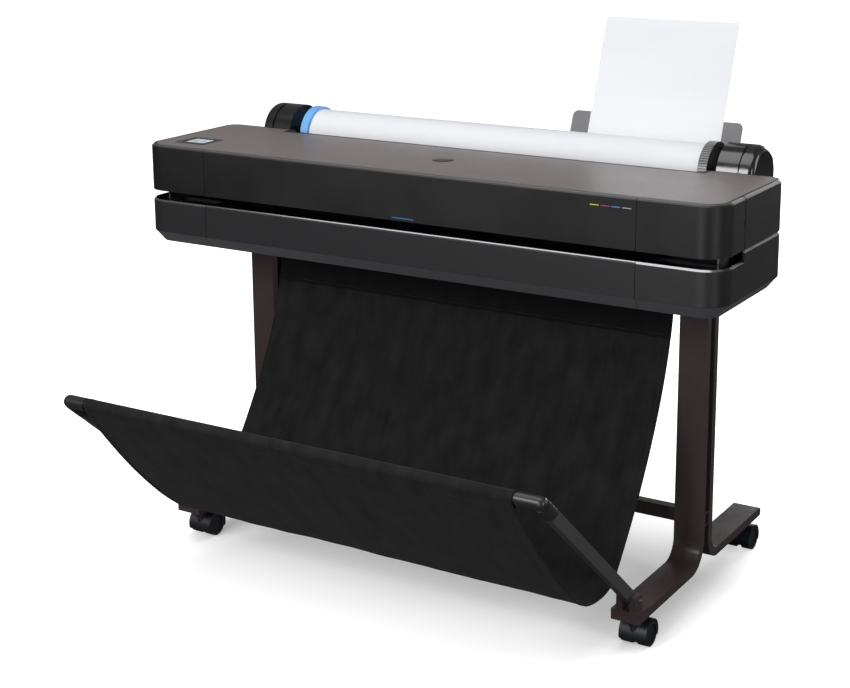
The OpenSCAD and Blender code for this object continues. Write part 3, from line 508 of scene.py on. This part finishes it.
# %% [markdown]
# The touch screen glows a little inside a dark margin. Its picture is only soft tiles on a
# pale ground, with no words in it: one broad green tile, one blue one and a grey bar. Each
# tile is a mask made from the distance to its middle, so nothing has to be drawn or stored.

# %% Lit screen
screen_low, screen_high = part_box("touchscreen")
screen_w = screen_high.x - screen_low.x
screen_d = screen_high.y - screen_low.y
TILES = {
    (0.54, 0.52, 0.80, 0.80): "#DCE8E8",
    (0.38, 0.46, 0.30, 0.42): "#8DB49A",
    (0.72, 0.46, 0.22, 0.42): "#9DB6D2",
    (0.54, 0.80, 0.66, 0.10): "#B4BEC4",
}


def tile(material, where, across, down, wide, deep):
    """A soft-edged tile, its middle and size given as shares of the screen."""
    masks = []
    for axis, share, size, full, low in (
        ("X", across, wide, screen_w, screen_low.x), ("Y", down, deep, screen_d, screen_low.y),
    ):
        away = add(material, "Math", {0: where[axis], 1: low + share * full}, operation="SUBTRACT")
        apart = add(material, "Math", {0: away.outputs[0]}, operation="ABSOLUTE").outputs[0]
        masks.append(step(material, apart, size * full / 2, 2 * MM, 1, 0))
    return both(material, *masks)


def lit_screen():
    """Pale picture under glass, made of soft tiles."""
    material, shader = new_finish("lit screen glass", "#DCE8E8", IOR=1.5, Roughness=0.12,
                                  Emission_Strength=0.25)
    place = add(material, "TexCoord").outputs["Object"]
    where = add(material, "SeparateXYZ", {"Vector": place}).outputs
    picture = layered(material, "#0E0F11", *[
        (tile(material, where, *spot), code) for spot, code in TILES.items()
    ])
    join(material, picture, shader.inputs["Base Color"])
    join(material, picture, shader.inputs["Emission Color"])
    smear = add(material, "TexNoise", {"Vector": place, "Scale": 30.0, "Detail": 3.0})
    gloss = add(material, "MapRange", {
        "Value": smear.outputs["Fac"], "To Min": 0.06, "To Max": 0.2,
    })
    join(material, gloss.outputs["Result"], shader.inputs["Roughness"])
    return material


paint(lit_screen(), "touchscreen")

# %% [markdown]
# Plotter paper is coated and bright white. On the roll it shows the faint steps of its
# windings at the ends, and a slow unevenness along its length where it was wound tighter.
# The rings are noise in the distance from the roll's axis, drawn 0.9 mm apart because real
# windings, a tenth of that, would not show.

# %% Paper
def wound_paper():
    """White coated paper; rings round the roll's axis at its ends."""
    material, shader = new_finish("coated white paper", "#E6E8EC", IOR=1.5, Roughness=0.6)
    coordinates = add(material, "TexCoord").outputs
    place = coordinates["Object"]
    radius = add(material, "CombineXYZ", {"X": from_axis(material, place)})
    rings = add(material, "TexNoise", {
        "Vector": radius.outputs[0], "Scale": 1 / (0.9 * MM), "Detail": 2.0,
    })
    squeezed = add(material, "Mapping", {"Vector": place, "Scale": (3, 14, 14)})
    broad = add(material, "TexNoise", {
        "Vector": squeezed.outputs[0], "Scale": 1.0, "Detail": 2.0,
    })
    facing = add(material, "SeparateXYZ", {"Vector": coordinates["Normal"]}).outputs["X"]
    end = add(material, "Math", {0: facing}, operation="ABSOLUTE").outputs[0]
    faint = add(material, "MapRange", {"Value": rings.outputs["Fac"], "To Max": 0.35}).outputs[0]
    lines = both(material, step(material, end, 0.8, 0.1), faint)
    colour = layered(material, "#DFE0E4", (broad.outputs["Fac"], "#EAEBEE"), (lines, "#B9BDC6"))
    join(material, colour, shader.inputs["Base Color"])
    bump = add(material, "Bump", {
        "Height": broad.outputs["Fac"], "Distance": 0.5 * MM, "Strength": 0.2,
    })
    join(material, bump.outputs["Normal"], shader.inputs["Normal"])
    return material


paint(wound_paper(), "paper_roll", "paper_sheet")

# %% [markdown]
# The bin is one length of black woven polyester. It hangs from a rail under the body, lies
# slack along the bottom and rises to the rod, where it is folded over and sewn into a
# sleeve. A real sheet has one unbroken line from hem to hem, so the mesh is made by
# sweeping that line across the bin. The same curves as the frame's strips guide it.

# %% The fabric's line from front to back
rod_low, rod_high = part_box("bin_rod")
rod = Vector(((rod_low.y + rod_high.y) / 2, (rod_low.z + rod_high.z) / 2))
rod_r = (rod_high.z - rod_low.z) / 2
CLOTH = 1.2 * MM
HEM = 30 * MM
sleeve_r = rod_r + 1.4 * MM


def behind(s, z):
    """A point of the side view: mm behind the body's front face, and mm above the floor."""
    return Vector((front_y + s * MM, z * MM))


def moved(point, s, z):
    """A point moved back by s mm and up by z mm."""
    return point + behind(s, z) - behind(0, 0)


def bend(ends, count):
    """Points of a cubic curve in the side view, its first point left out."""
    points = []
    for i in range(1, count + 1):
        t = i / count
        u = 1 - t
        points.append(u ** 3 * ends[0] + 3 * u * u * t * ends[1]
                      + 3 * u * t * t * ends[2] + t ** 3 * ends[3])
    return points


hang_top = Vector((behind(240, 0).x, under_z - 1 * MM))
trough_back = behind(-8, 122)
trough_front = behind(-145, 123)
rise = Vector((-0.555, 0.832)).normalized()
touch = rod + Vector((-rise.y, rise.x)) * sleeve_r
fall = Vector((0, 164 * MM))
hanging = [hang_top, hang_top - fall, moved(trough_back, 133, 153), trough_back]
lying = [trough_back, moved(trough_back, -24, -27), moved(trough_front, 28, -21), trough_front]
rising = [trough_front, moved(trough_front, -91, 61), touch - rise * 100 * MM, touch]
side_line = [hang_top] + bend(hanging, 60) + bend(lying, 20) + bend(rising, 48)
hem_start = len(side_line) - 1
print("fabric line", len(side_line), "points down to the rod's sleeve")

# %% [markdown]
# At the rod the sheet goes up the front, over the top and down the back, then meets itself
# at the seam and ends in a short flap. That is the rod's sleeve. The seam lies where both
# tangents from the rod meet.

# %% The sleeve round the rod
seam_drop = 16 * MM
seam = touch - rise * seam_drop
turn_from = math.atan2(touch.y - rod.y, touch.x - rod.x) + math.tau
turn_back = math.tau - 2 * math.atan2(seam_drop, sleeve_r)
WRAP = 40
for i in range(1, WRAP + 1):
    turn = turn_from - turn_back * i / WRAP
    side_line.append(rod + sleeve_r * Vector((math.cos(turn), math.sin(turn))))
inward = Vector((rise.y, -rise.x))
LAYER_GAP = 0.2 * MM
under_seam = seam + inward * (CLOTH + LAYER_GAP)
side_line += [side_line[-1].lerp(under_seam, 0.5), under_seam]
side_line += [under_seam - rise * HEM * share for share in (0.2, 0.4, 0.55)]
lengths = [0.0]
for a, b in zip(side_line, side_line[1:]):
    lengths.append(lengths[-1] + (b - a).length)
print("fabric length", round(lengths[-1], 3), "m")

# %% [markdown]
# A mesh is only points and the faces that join them. This function makes one, shades it
# smooth and, for cloth, keeps where each corner lay on the flat sheet before it was hung,
# so that the weave can follow the sheet and not the room.

# %% A mesh from points and faces
def new_mesh(name, vertices, faces, places=None):
    """Makes a smooth-shaded object; places holds a flat position for each face corner."""
    mesh = bpy.data.meshes.new(name)
    mesh.from_pydata(vertices, [], faces)
    if places:
        layer_uv = mesh.uv_layers.new(name="cut")
        for polygon, spots in zip(mesh.polygons, places):
            for loop, spot in zip(polygon.loop_indices, spots):
                layer_uv.data[loop].uv = spot
    mesh.polygons.foreach_set("use_smooth", [True] * len(mesh.polygons))
    mesh.update()
    made = bpy.data.objects.new(name, mesh)
    bpy.context.scene.collection.objects.link(made)
    print(name, len(mesh.polygons), "faces")
    return made

# %% [markdown]
# A hung sheet is never flat. It has long shallow waves where it hangs, a few creases that
# fan out from the bottom, and tighter ripples beside the seams. Cloth simulation could find
# them, but this sheet is held on two opposite edges and stretched by its own weight, so
# layered noise pushed along the sheet's own normal gives the same shape at no cost.

# %% Waves and ripples
def ripple(across, along, room):
    """How far the cloth stands off its line: long waves, then small ripples."""
    waves = noise.noise(Vector((across * 5.5, along * 1.6, 3.1)))
    folds = noise.noise(Vector((across * 17.0, along * 4.0, 8.7)))
    fine = noise.noise(Vector((across * 60.0, along * 26.0, 1.3)))
    return room * (2.2 * MM * waves + 1.0 * MM * folds + 0.25 * MM * fine)


def held_ends(start, end):
    """A function that fades the ripples out over the given lengths at both ends."""
    def room(far, total):
        near_start = min(1.0, far / start)
        near_end = min(1.0, max(0.0, (total - far) / end - 0.35) / 0.65)
        return (near_start * near_end) ** 0.8
    return room


HELD = 0.12
side_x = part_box("fabric_front")[1].x
hem_far = lengths[-1] - lengths[hem_start] + 40 * MM
sheet_room = held_ends(HELD, hem_far * 2)
print("ripples fade over the first", HELD, "m and the last", round(hem_far * 2, 3), "m")

# %% [markdown]
# The sheet is two faces a cloth's thickness apart, closed along all four edges, so it is a
# real solid that light can't leak through. At each side it is folded over and sewn down,
# which shows on the outer face as a low swelling.

# %% Sweep a line into a sheet of cloth
ACROSS = 124
SIDE_HEM = 12 * MM
HEM_SWELL = 0.35


def face_off(sign, in_hem):
    """How far a face lies from the sheet's middle; the outer one swells at a hem."""
    return sign * CLOTH * (0.5 + (HEM_SWELL if in_hem and sign > 0 else 0.0))


def sweep_sheet(name, line, half_width, room_at):
    """A closed thin sheet along a line of (y, z), with doubled side hems."""
    far = [0.0]
    for a, b in zip(line, line[1:]):
        far.append(far[-1] + (b - a).length)
    hem_edge = half_width - SIDE_HEM
    columns = [-half_width, -half_width + 1.5 * MM, -hem_edge, -hem_edge + MM]
    inner = hem_edge - 2 * MM
    columns += [-inner + 2 * inner * i / ACROSS for i in range(ACROSS + 1)]
    columns += [-c for c in reversed(columns[:4])]
    vertices = []
    for sign in (1, -1):
        for i, point in enumerate(line):
            along = (line[min(i + 1, len(line) - 1)] - line[max(i - 1, 0)]).normalized()
            normal = Vector((-along.y, along.x))
            for x in columns:
                in_hem = abs(x) >= hem_edge - 0.1 * MM
                off = ripple(x, far[i], room_at(far[i], far[-1])) + face_off(sign, in_hem)
                vertices.append((x, point.x + normal.x * off, point.y + normal.y * off))
    wide, deep = len(columns), len(line)
    faces, places = [], []

    def quad(*corners):
        faces.append(tuple((side * deep + i) * wide + k for side, i, k in corners))
        places.append([(columns[k], far[i]) for _, i, k in corners])

    end, edge = deep - 1, wide - 1
    for i in range(end):
        for k in range(edge):
            quad((0, i, k), (0, i, k + 1), (0, i + 1, k + 1), (0, i + 1, k))
            quad((1, i, k), (1, i + 1, k), (1, i + 1, k + 1), (1, i, k + 1))
        quad((0, i, 0), (0, i + 1, 0), (1, i + 1, 0), (1, i, 0))
        quad((0, i + 1, edge), (0, i, edge), (1, i, edge), (1, i + 1, edge))
    for k in range(edge):
        quad((0, 0, k + 1), (0, 0, k), (1, 0, k), (1, 0, k + 1))
        quad((0, end, k), (0, end, k + 1), (1, end, k + 1), (1, end, k))
    return new_mesh(name, vertices, faces, places)


bin_fabric = sweep_sheet("bin_fabric", side_line, side_x, sheet_room)

# %% [markdown]
# Woven polyester: two sets of threads cross at right angles, so light is broken up by tiny
# squares and catches the thread ends at a low angle as a soft sheen. The real threads are
# 0.5 mm apart; the pattern is drawn 2 mm apart so that it shows. The warp runs from rail to
# rod, and single thicker threads in it give long faint streaks. Dust and handling leave
# paler patches a few centimetres across.

# %% Woven fabric
THREAD = 2.0 * MM


def woven(name, dark, light, thread_top):
    """Black plain weave in the sheet's own flat coordinates."""
    material, shader = new_finish(name, dark, IOR=1.4, Roughness=0.88, Specular_IOR_Level=0.3,
                                  Sheen_Weight=0.04, Sheen_Roughness=0.5)
    flat = add(material, "TexCoord").outputs["UV"]
    threads = []
    for direction in ("X", "Y"):
        threads.append(add(material, "TexWave", {
            "Vector": flat, "Scale": bands(THREAD), "Distortion": 0.4, "Detail Scale": 40.0,
        }, wave_type="BANDS", bands_direction=direction, wave_profile="SIN").outputs["Fac"])
    weave = both(material, *threads)
    clouds = []
    for stretch, detail, low, high, most in (
        ((160, 1.5, 1), 3.0, 0.35, 0.65, 0.25), ((30, 15, 1), 6.0, 0.3, 0.7, 0.8),
    ):
        drawn = add(material, "Mapping", {"Vector": flat, "Scale": stretch}).outputs[0]
        cloud = add(material, "TexNoise", {"Vector": drawn, "Scale": 1.0, "Detail": detail})
        clouds.append(add(material, "MapRange", {
            "Value": cloud.outputs["Fac"], "From Min": low, "From Max": high, "To Max": most,
        }).outputs["Result"])
    streaks, dust = clouds
    lit = add(material, "MapRange", {"Value": weave, "To Max": 0.5}).outputs["Result"]
    colour = layered(material, dark, (streaks, light), (dust, light), (lit, thread_top))
    join(material, colour, shader.inputs["Base Color"])
    bump = add(material, "Bump", {"Height": weave, "Distance": 0.3 * MM, "Strength": 0.5})
    join(material, bump.outputs["Normal"], shader.inputs["Normal"])
    return material

# %% [markdown]
# This sheet crosses the joint between the body and the swinging arms. Its line follows the
# body down to the back of the trough and rises to the arms' rod from its front on, as one
# skin. Here it gets its woven finish, the CAD model's two fabric strips are hidden, and its
# placement is baked into its points.

# %% The fabric's finish, in place of the CAD strips
cloth = woven("woven black polyester", "#080808", "#232324", "#28282A")
bin_fabric.data.materials.append(cloth)
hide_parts("fabric_back", "fabric_front")
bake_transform(bin_fabric)
print("cut size", round(2 * side_x, 3), "by", round(lengths[-1], 3), "m")

# %% [markdown]
# The upper part of the back panel is doubled, which makes it hang straight. The second
# layer is a band that lies against the first, from the rail down to a sewn hem. Its darker
# copy of the weave is partly the doubled cloth and partly painted shade from the body above.

# %% Doubled band behind the bin
BAND_END = 530 * MM
BAND_GAP = 0.9 * MM
band_line = []
for a, b in zip(side_line, side_line[1:]):
    if a.y < BAND_END:
        break
    along = (b - a).normalized()
    band_line.append(a + Vector((along.y, -along.x)) * (CLOTH + BAND_GAP))
band_x = side_x - 1.5 * MM
bin_band = sweep_sheet("bin_band", band_line, band_x, held_ends(HELD, 2 * MM))
# Darker colours: partly the doubled cloth, partly painted shade under the body.
bin_band.data.materials.append(
    woven("doubled black polyester in painted shade", "#050505", "#111112", "#151516"))
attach(bin_band, "root")

# %% [markdown]
# Lockstitch shows on both faces as a row of short thick threads with small gaps. Each one
# is a slim bead here, real geometry, because the hems are where the eye looks for proof
# that this is sewn. All beads of one row are one mesh, so the object list stays short.

# %% Stitches
STITCH = 3.6 * MM
PITCH = 5.0 * MM
THREAD_R = 0.45 * MM
SIDES = 6
thread = moulded("polyester thread", "#232324", size_mm=0.5, height_mm=0.1, roughness=(0.6, 0.7))


def beads(name, spots, body=None):
    """One mesh of thread beads; each spot is its middle, its direction and its up."""
    vertices, faces = [], []
    for middle, along, up in spots:
        aside = up.cross(along)
        tip = len(vertices)
        vertices.append(middle - along * STITCH / 2)
        for reach in (-0.3, 0.3):
            for k in range(SIDES):
                turn = math.tau * k / SIDES
                ring = (aside * math.cos(turn) + up * math.sin(turn)) * THREAD_R
                vertices.append(middle + along * STITCH * reach + ring)
        vertices.append(middle + along * STITCH / 2)
        near, far = tip + 1, tip + 1 + SIDES
        for k in range(SIDES):
            n = (k + 1) % SIDES
            faces.append((tip, near + n, near + k))
            faces.append((near + k, near + n, far + n, far + k))
            faces.append((far + k, far + n, far + SIDES))
    made = new_mesh(name, vertices, faces)
    made.data.materials.append(thread)
    if body:
        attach(made, body)
    return made


def across_row(point, up, half):
    """Spots for a row across the bin through a point of the side view."""
    count = int(2 * half / PITCH)
    middle = Vector((0, point.x, point.y)) + Vector((0, up.x, up.y)) * 0.2 * MM
    return [(middle + Vector((-half + (i + 0.5) * PITCH, 0, 0)), Vector((1, 0, 0)),
             Vector((0, up.x, up.y))) for i in range(count)]


outward = -inward
rod_row = across_row(seam + outward * CLOTH / 2, outward, side_x - 14 * MM)
beads("rod_hem_stitches", rod_row, "bin_frame")
band_foot = band_line[-1] + (band_line[-2] - band_line[-1]).normalized() * 7 * MM
forward = Vector((-1, 0))
band_row = across_row(band_foot + forward * CLOTH / 2, forward, band_x - 6 * MM)
beads("band_hem_stitches", band_row, "root")

# %% [markdown]
# The side hems run the whole length of the sheet and cross the joint, so their stitches
# follow the sheet's line. They lie on the same ripples.

# %% Side hem stitches
def side_row(x, sign):
    """Spots along one side hem, on one face of the sheet."""
    spots = []
    at, total = 6 * MM, lengths[hem_start] - 4 * MM
    while at < total:
        i = next(k for k in range(len(lengths)) if lengths[k] > at) - 1
        share = (at - lengths[i]) / (lengths[i + 1] - lengths[i])
        point = side_line[i].lerp(side_line[i + 1], share)
        ahead, before = side_line[min(i + 2, len(side_line) - 1)], side_line[max(i - 1, 0)]
        along = (ahead - before).normalized()
        normal = Vector((-along.y, along.x))
        off = ripple(x, at, sheet_room(at, lengths[-1]))
        off += face_off(sign, True) + sign * 0.15 * MM
        spots.append((Vector((x, point.x + normal.x * off, point.y + normal.y * off)),
                      Vector((0, along.x, along.y)), Vector((0, normal.x, normal.y)) * sign))
        at += PITCH
    return spots


side_spots = []
for x in (side_x - 9 * MM, -side_x + 9 * MM):
    for sign in (1, -1):
        side_spots += side_row(x, sign)
side_stitches = beads("side_hem_stitches", side_spots)
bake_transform(side_stitches)

# %% [markdown]
# Four thin dashes in the colours of the inks are pad-printed near the right end of the
# window, and a slim blue light sits at its lower edge. A plain dark disc marks the middle
# of the top. Each is a low pad with a rounded outline and a soft edge, not a flat square.

# %% Printed dashes, status light and disc
def pad(name, middle, wide, high, thick, corner, facing_up, finish, body):
    """A low rounded pad, on the front when facing_up is false, or on the top."""
    outline = []
    for cx, cy, start in ((1, 1, 0), (-1, 1, 90), (-1, -1, 180), (1, -1, 270)):
        for k in range(9):
            turn = math.radians(start + 90 * k / 8)
            outline.append((cx * (wide / 2 - corner) + corner * math.cos(turn),
                            cy * (high / 2 - corner) + corner * math.sin(turn)))
    least = min(wide, high)
    vertices = []
    for inset, lift in ((0, 0), (0, thick * 0.6), (thick * 0.4, thick), (least * 0.3, thick)):
        pull = 1 - 2 * inset / least
        for px, py in outline:
            u, v = px * pull, py * pull
            raised = (u, v, lift) if facing_up else (u, -lift, v)
            vertices.append(Vector(raised) + Vector(middle))
    n = len(outline)
    top = len(vertices) - n
    faces = [(r + k, r + (k + 1) % n, r + n + (k + 1) % n, r + n + k)
             for r in range(0, top, n) for k in range(n)]
    faces.append(tuple(top + k for k in range(n)))
    faces.append(tuple(reversed(range(n))))
    made = new_mesh(name, vertices, faces)
    made.data.materials.append(finish)
    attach(made, body)


INKS = {"yellow": "#D9CE1E", "magenta": "#B02A78", "cyan": "#2A8EC4", "grey": "#A4A6AA"}
FIRST_DASH = 410 * MM
DASH_PITCH = 21.5 * MM
CLEAR = 0.02 * MM  # between a pad's back and its panel, so that the two never flicker
for i, (ink, code) in enumerate(INKS.items()):
    spot = (FIRST_DASH + i * DASH_PITCH, front_y - CLEAR, top_z - 21.3 * MM)
    pad(f"{ink}_dash", spot, 18 * MM, 1.7 * MM, 0.15 * MM, 0.6 * MM, False,
        moulded(f"{ink} printing ink", code, roughness=(0.45, 0.55)), "window")
light_spot = (-2.5 * MM, front_y - CLEAR, window_low.z + 5.5 * MM)
pad("status_light", light_spot, 50 * MM, 2.4 * MM, 0.3 * MM, 1.1 * MM, False,
    moulded("blue acrylic light guide", "#2F5F92", roughness=(0.2, 0.3)), "window")
DISC = 44 * MM
pad("top_disc", (0, 81 * MM, top_z), DISC, DISC, 0.4 * MM, DISC / 2 - 0.1 * MM, True,
    moulded("dark grey gloss ABS", "#2A2827", roughness=(0.25, 0.35)), "root")

# %% [markdown]
# The camera stands in front of the machine and to its right, a little above it, with a
# long lens. Its place is given in metres and its aim as three angles. A small vertical
# shift lets it tilt down less, which keeps the uprights nearer to parallel, as a product
# photographer does with a shift lens.

# %% Camera
STAND = (1.7254, -2.7783, 1.4664)
YAW, PITCH_DOWN, ROLL = (math.radians(a) for a in (31.75, -13.22, -0.40))
camera_data = bpy.data.cameras.new("camera")
camera = bpy.data.objects.new("camera", camera_data)
bpy.context.scene.collection.objects.link(camera)
camera_data.sensor_width = 36
camera_data.lens = 71.6
camera_data.shift_y = -0.1176
camera_data.clip_end = 200
flat_part = math.cos(PITCH_DOWN)
ahead = Vector((-math.sin(YAW) * flat_part, math.cos(YAW) * flat_part, math.sin(PITCH_DOWN)))
level = Vector((math.cos(YAW), math.sin(YAW), 0))
up = level.cross(ahead)
right = level * math.cos(ROLL) + up * math.sin(ROLL)
over = up * math.cos(ROLL) - level * math.sin(ROLL)
turn = Matrix((right, over, -ahead)).transposed()
camera.matrix_world = Matrix.Translation(STAND) @ turn.to_4x4()
bpy.context.scene.camera = camera
print("camera", round(camera.location.length, 2), "m from the floor's middle")

# %% [markdown]
# Black plastic shows its shape only by what it reflects. In a studio the machine stands on
# a lit white sweep, while the rest of the room is dim, so that the shell stays black. The
# Light Path node tells the rays that draw the backdrop from those that light the machine:
# the backdrop is white, and what the machine reflects is dim apart from the soft lights.
# The sweep's own glow fades under the machine: a painted shadow, where its body would keep the
# light off.

# %% Floor and room
WHITE = (1, 1, 1, 1)
ROOM = 0.2
FLOOR = 30
UNDER_GLOW = 0.18


def backdrop(owner, lit, dim, output):
    """Shows one shader to the camera and another to every other ray."""
    seen = add(owner, "LightPath").outputs["Is Camera Ray"]
    chosen = add(owner, "MixShader", {0: seen, 1: dim, 2: lit})
    join(owner, chosen.outputs[0], output.inputs["Surface"])


floor_corners = [(x * FLOOR, y * FLOOR, 0) for x, y in ((-1, -1), (1, -1), (1, 1), (-1, 1))]
floor = new_mesh("studio_floor", floor_corners, [(0, 1, 2, 3)])
sweep, _ = new_finish("studio sweep", "#F7F7F7")
spot = add(sweep, "SeparateXYZ", {"Vector": add(sweep, "TexCoord").outputs["Object"]}).outputs
sideways = add(sweep, "Math", {0: spot["X"]}, operation="ABSOLUTE").outputs[0]
# Painted shadow: the glow fades under the machine.
shadow_under_it = both(sweep, step(sweep, sideways, 0.6, 0.2, 1, 0),
                step(sweep, spot["Y"], -0.3, 0.5), step(sweep, spot["Y"], 0.5, 0.5, 1, 0))
lift = add(sweep, "MapRange", {"Value": shadow_under_it, "To Min": 1.0, "To Max": UNDER_GLOW})
glow = add(sweep, "Emission", {"Color": WHITE, "Strength": lift.outputs[0]}).outputs[0]
chalk = add(sweep, "BsdfDiffuse", {"Color": WHITE}).outputs[0]
shade = add(sweep, "BsdfDiffuse", {"Color": "#5A5A5A"}).outputs[0]
backdrop(sweep, add(sweep, "AddShader", {0: glow, 1: chalk}).outputs[0], shade,
         sweep.node_tree.nodes["Material Output"])
floor.data.materials.append(sweep)

world = bpy.data.worlds.new("studio")
bpy.context.scene.world = world
world.use_nodes = True
white = add(world, "Background", {"Color": WHITE, "Strength": 1.0}).outputs[0]
dim = add(world, "Background", {"Color": WHITE, "Strength": ROOM}).outputs[0]
backdrop(world, white, dim, world.node_tree.nodes["World Output"])
print("room light", ROOM, "floor glow under the machine", UNDER_GLOW)

# %% [markdown]
# Six soft boxes light the machine: a big one overhead for the top, one in front for the
# long face, two on the right for the end, a narrow strip that draws a line down the near
# corner, and one behind that rims the roll and the stand. Each is given its place and its
# size in metres, and its power in watts.

# %% Soft boxes
def softbox(name, place, size, power, target=(0, 0.1, 0.6)):
    """A rectangular area light that faces the machine."""
    light = bpy.data.lights.new(name, "AREA")
    light.shape = "RECTANGLE"
    light.size, light.size_y = size
    light.energy = power
    lamp = bpy.data.objects.new(name, light)
    bpy.context.scene.collection.objects.link(lamp)
    lamp.location = place
    lamp.rotation_euler = (Vector(target) - Vector(place)).to_track_quat("-Z", "Y").to_euler()
    print(f"{name}: {power} W")


softbox("overhead_light", (-0.3, -0.6, 3.4), (3.2, 2.2), 46)
softbox("front_light", (-1.6, -4.2, 2.6), (2.4, 1.8), 120)
softbox("right_strip", (3.2, -1.6, 1.3), (0.35, 2.0), 22)
softbox("right_light", (3.6, 1.6, 1.8), (1.6, 2.0), 26)
softbox("corner_strip", (0.55, -4.3, 0.8), (0.22, 1.6), 26)
softbox("back_light", (0.4, 4.8, 1.2), (2.2, 1.6), 110)
bpy.context.scene.view_settings.view_transform = "Standard"
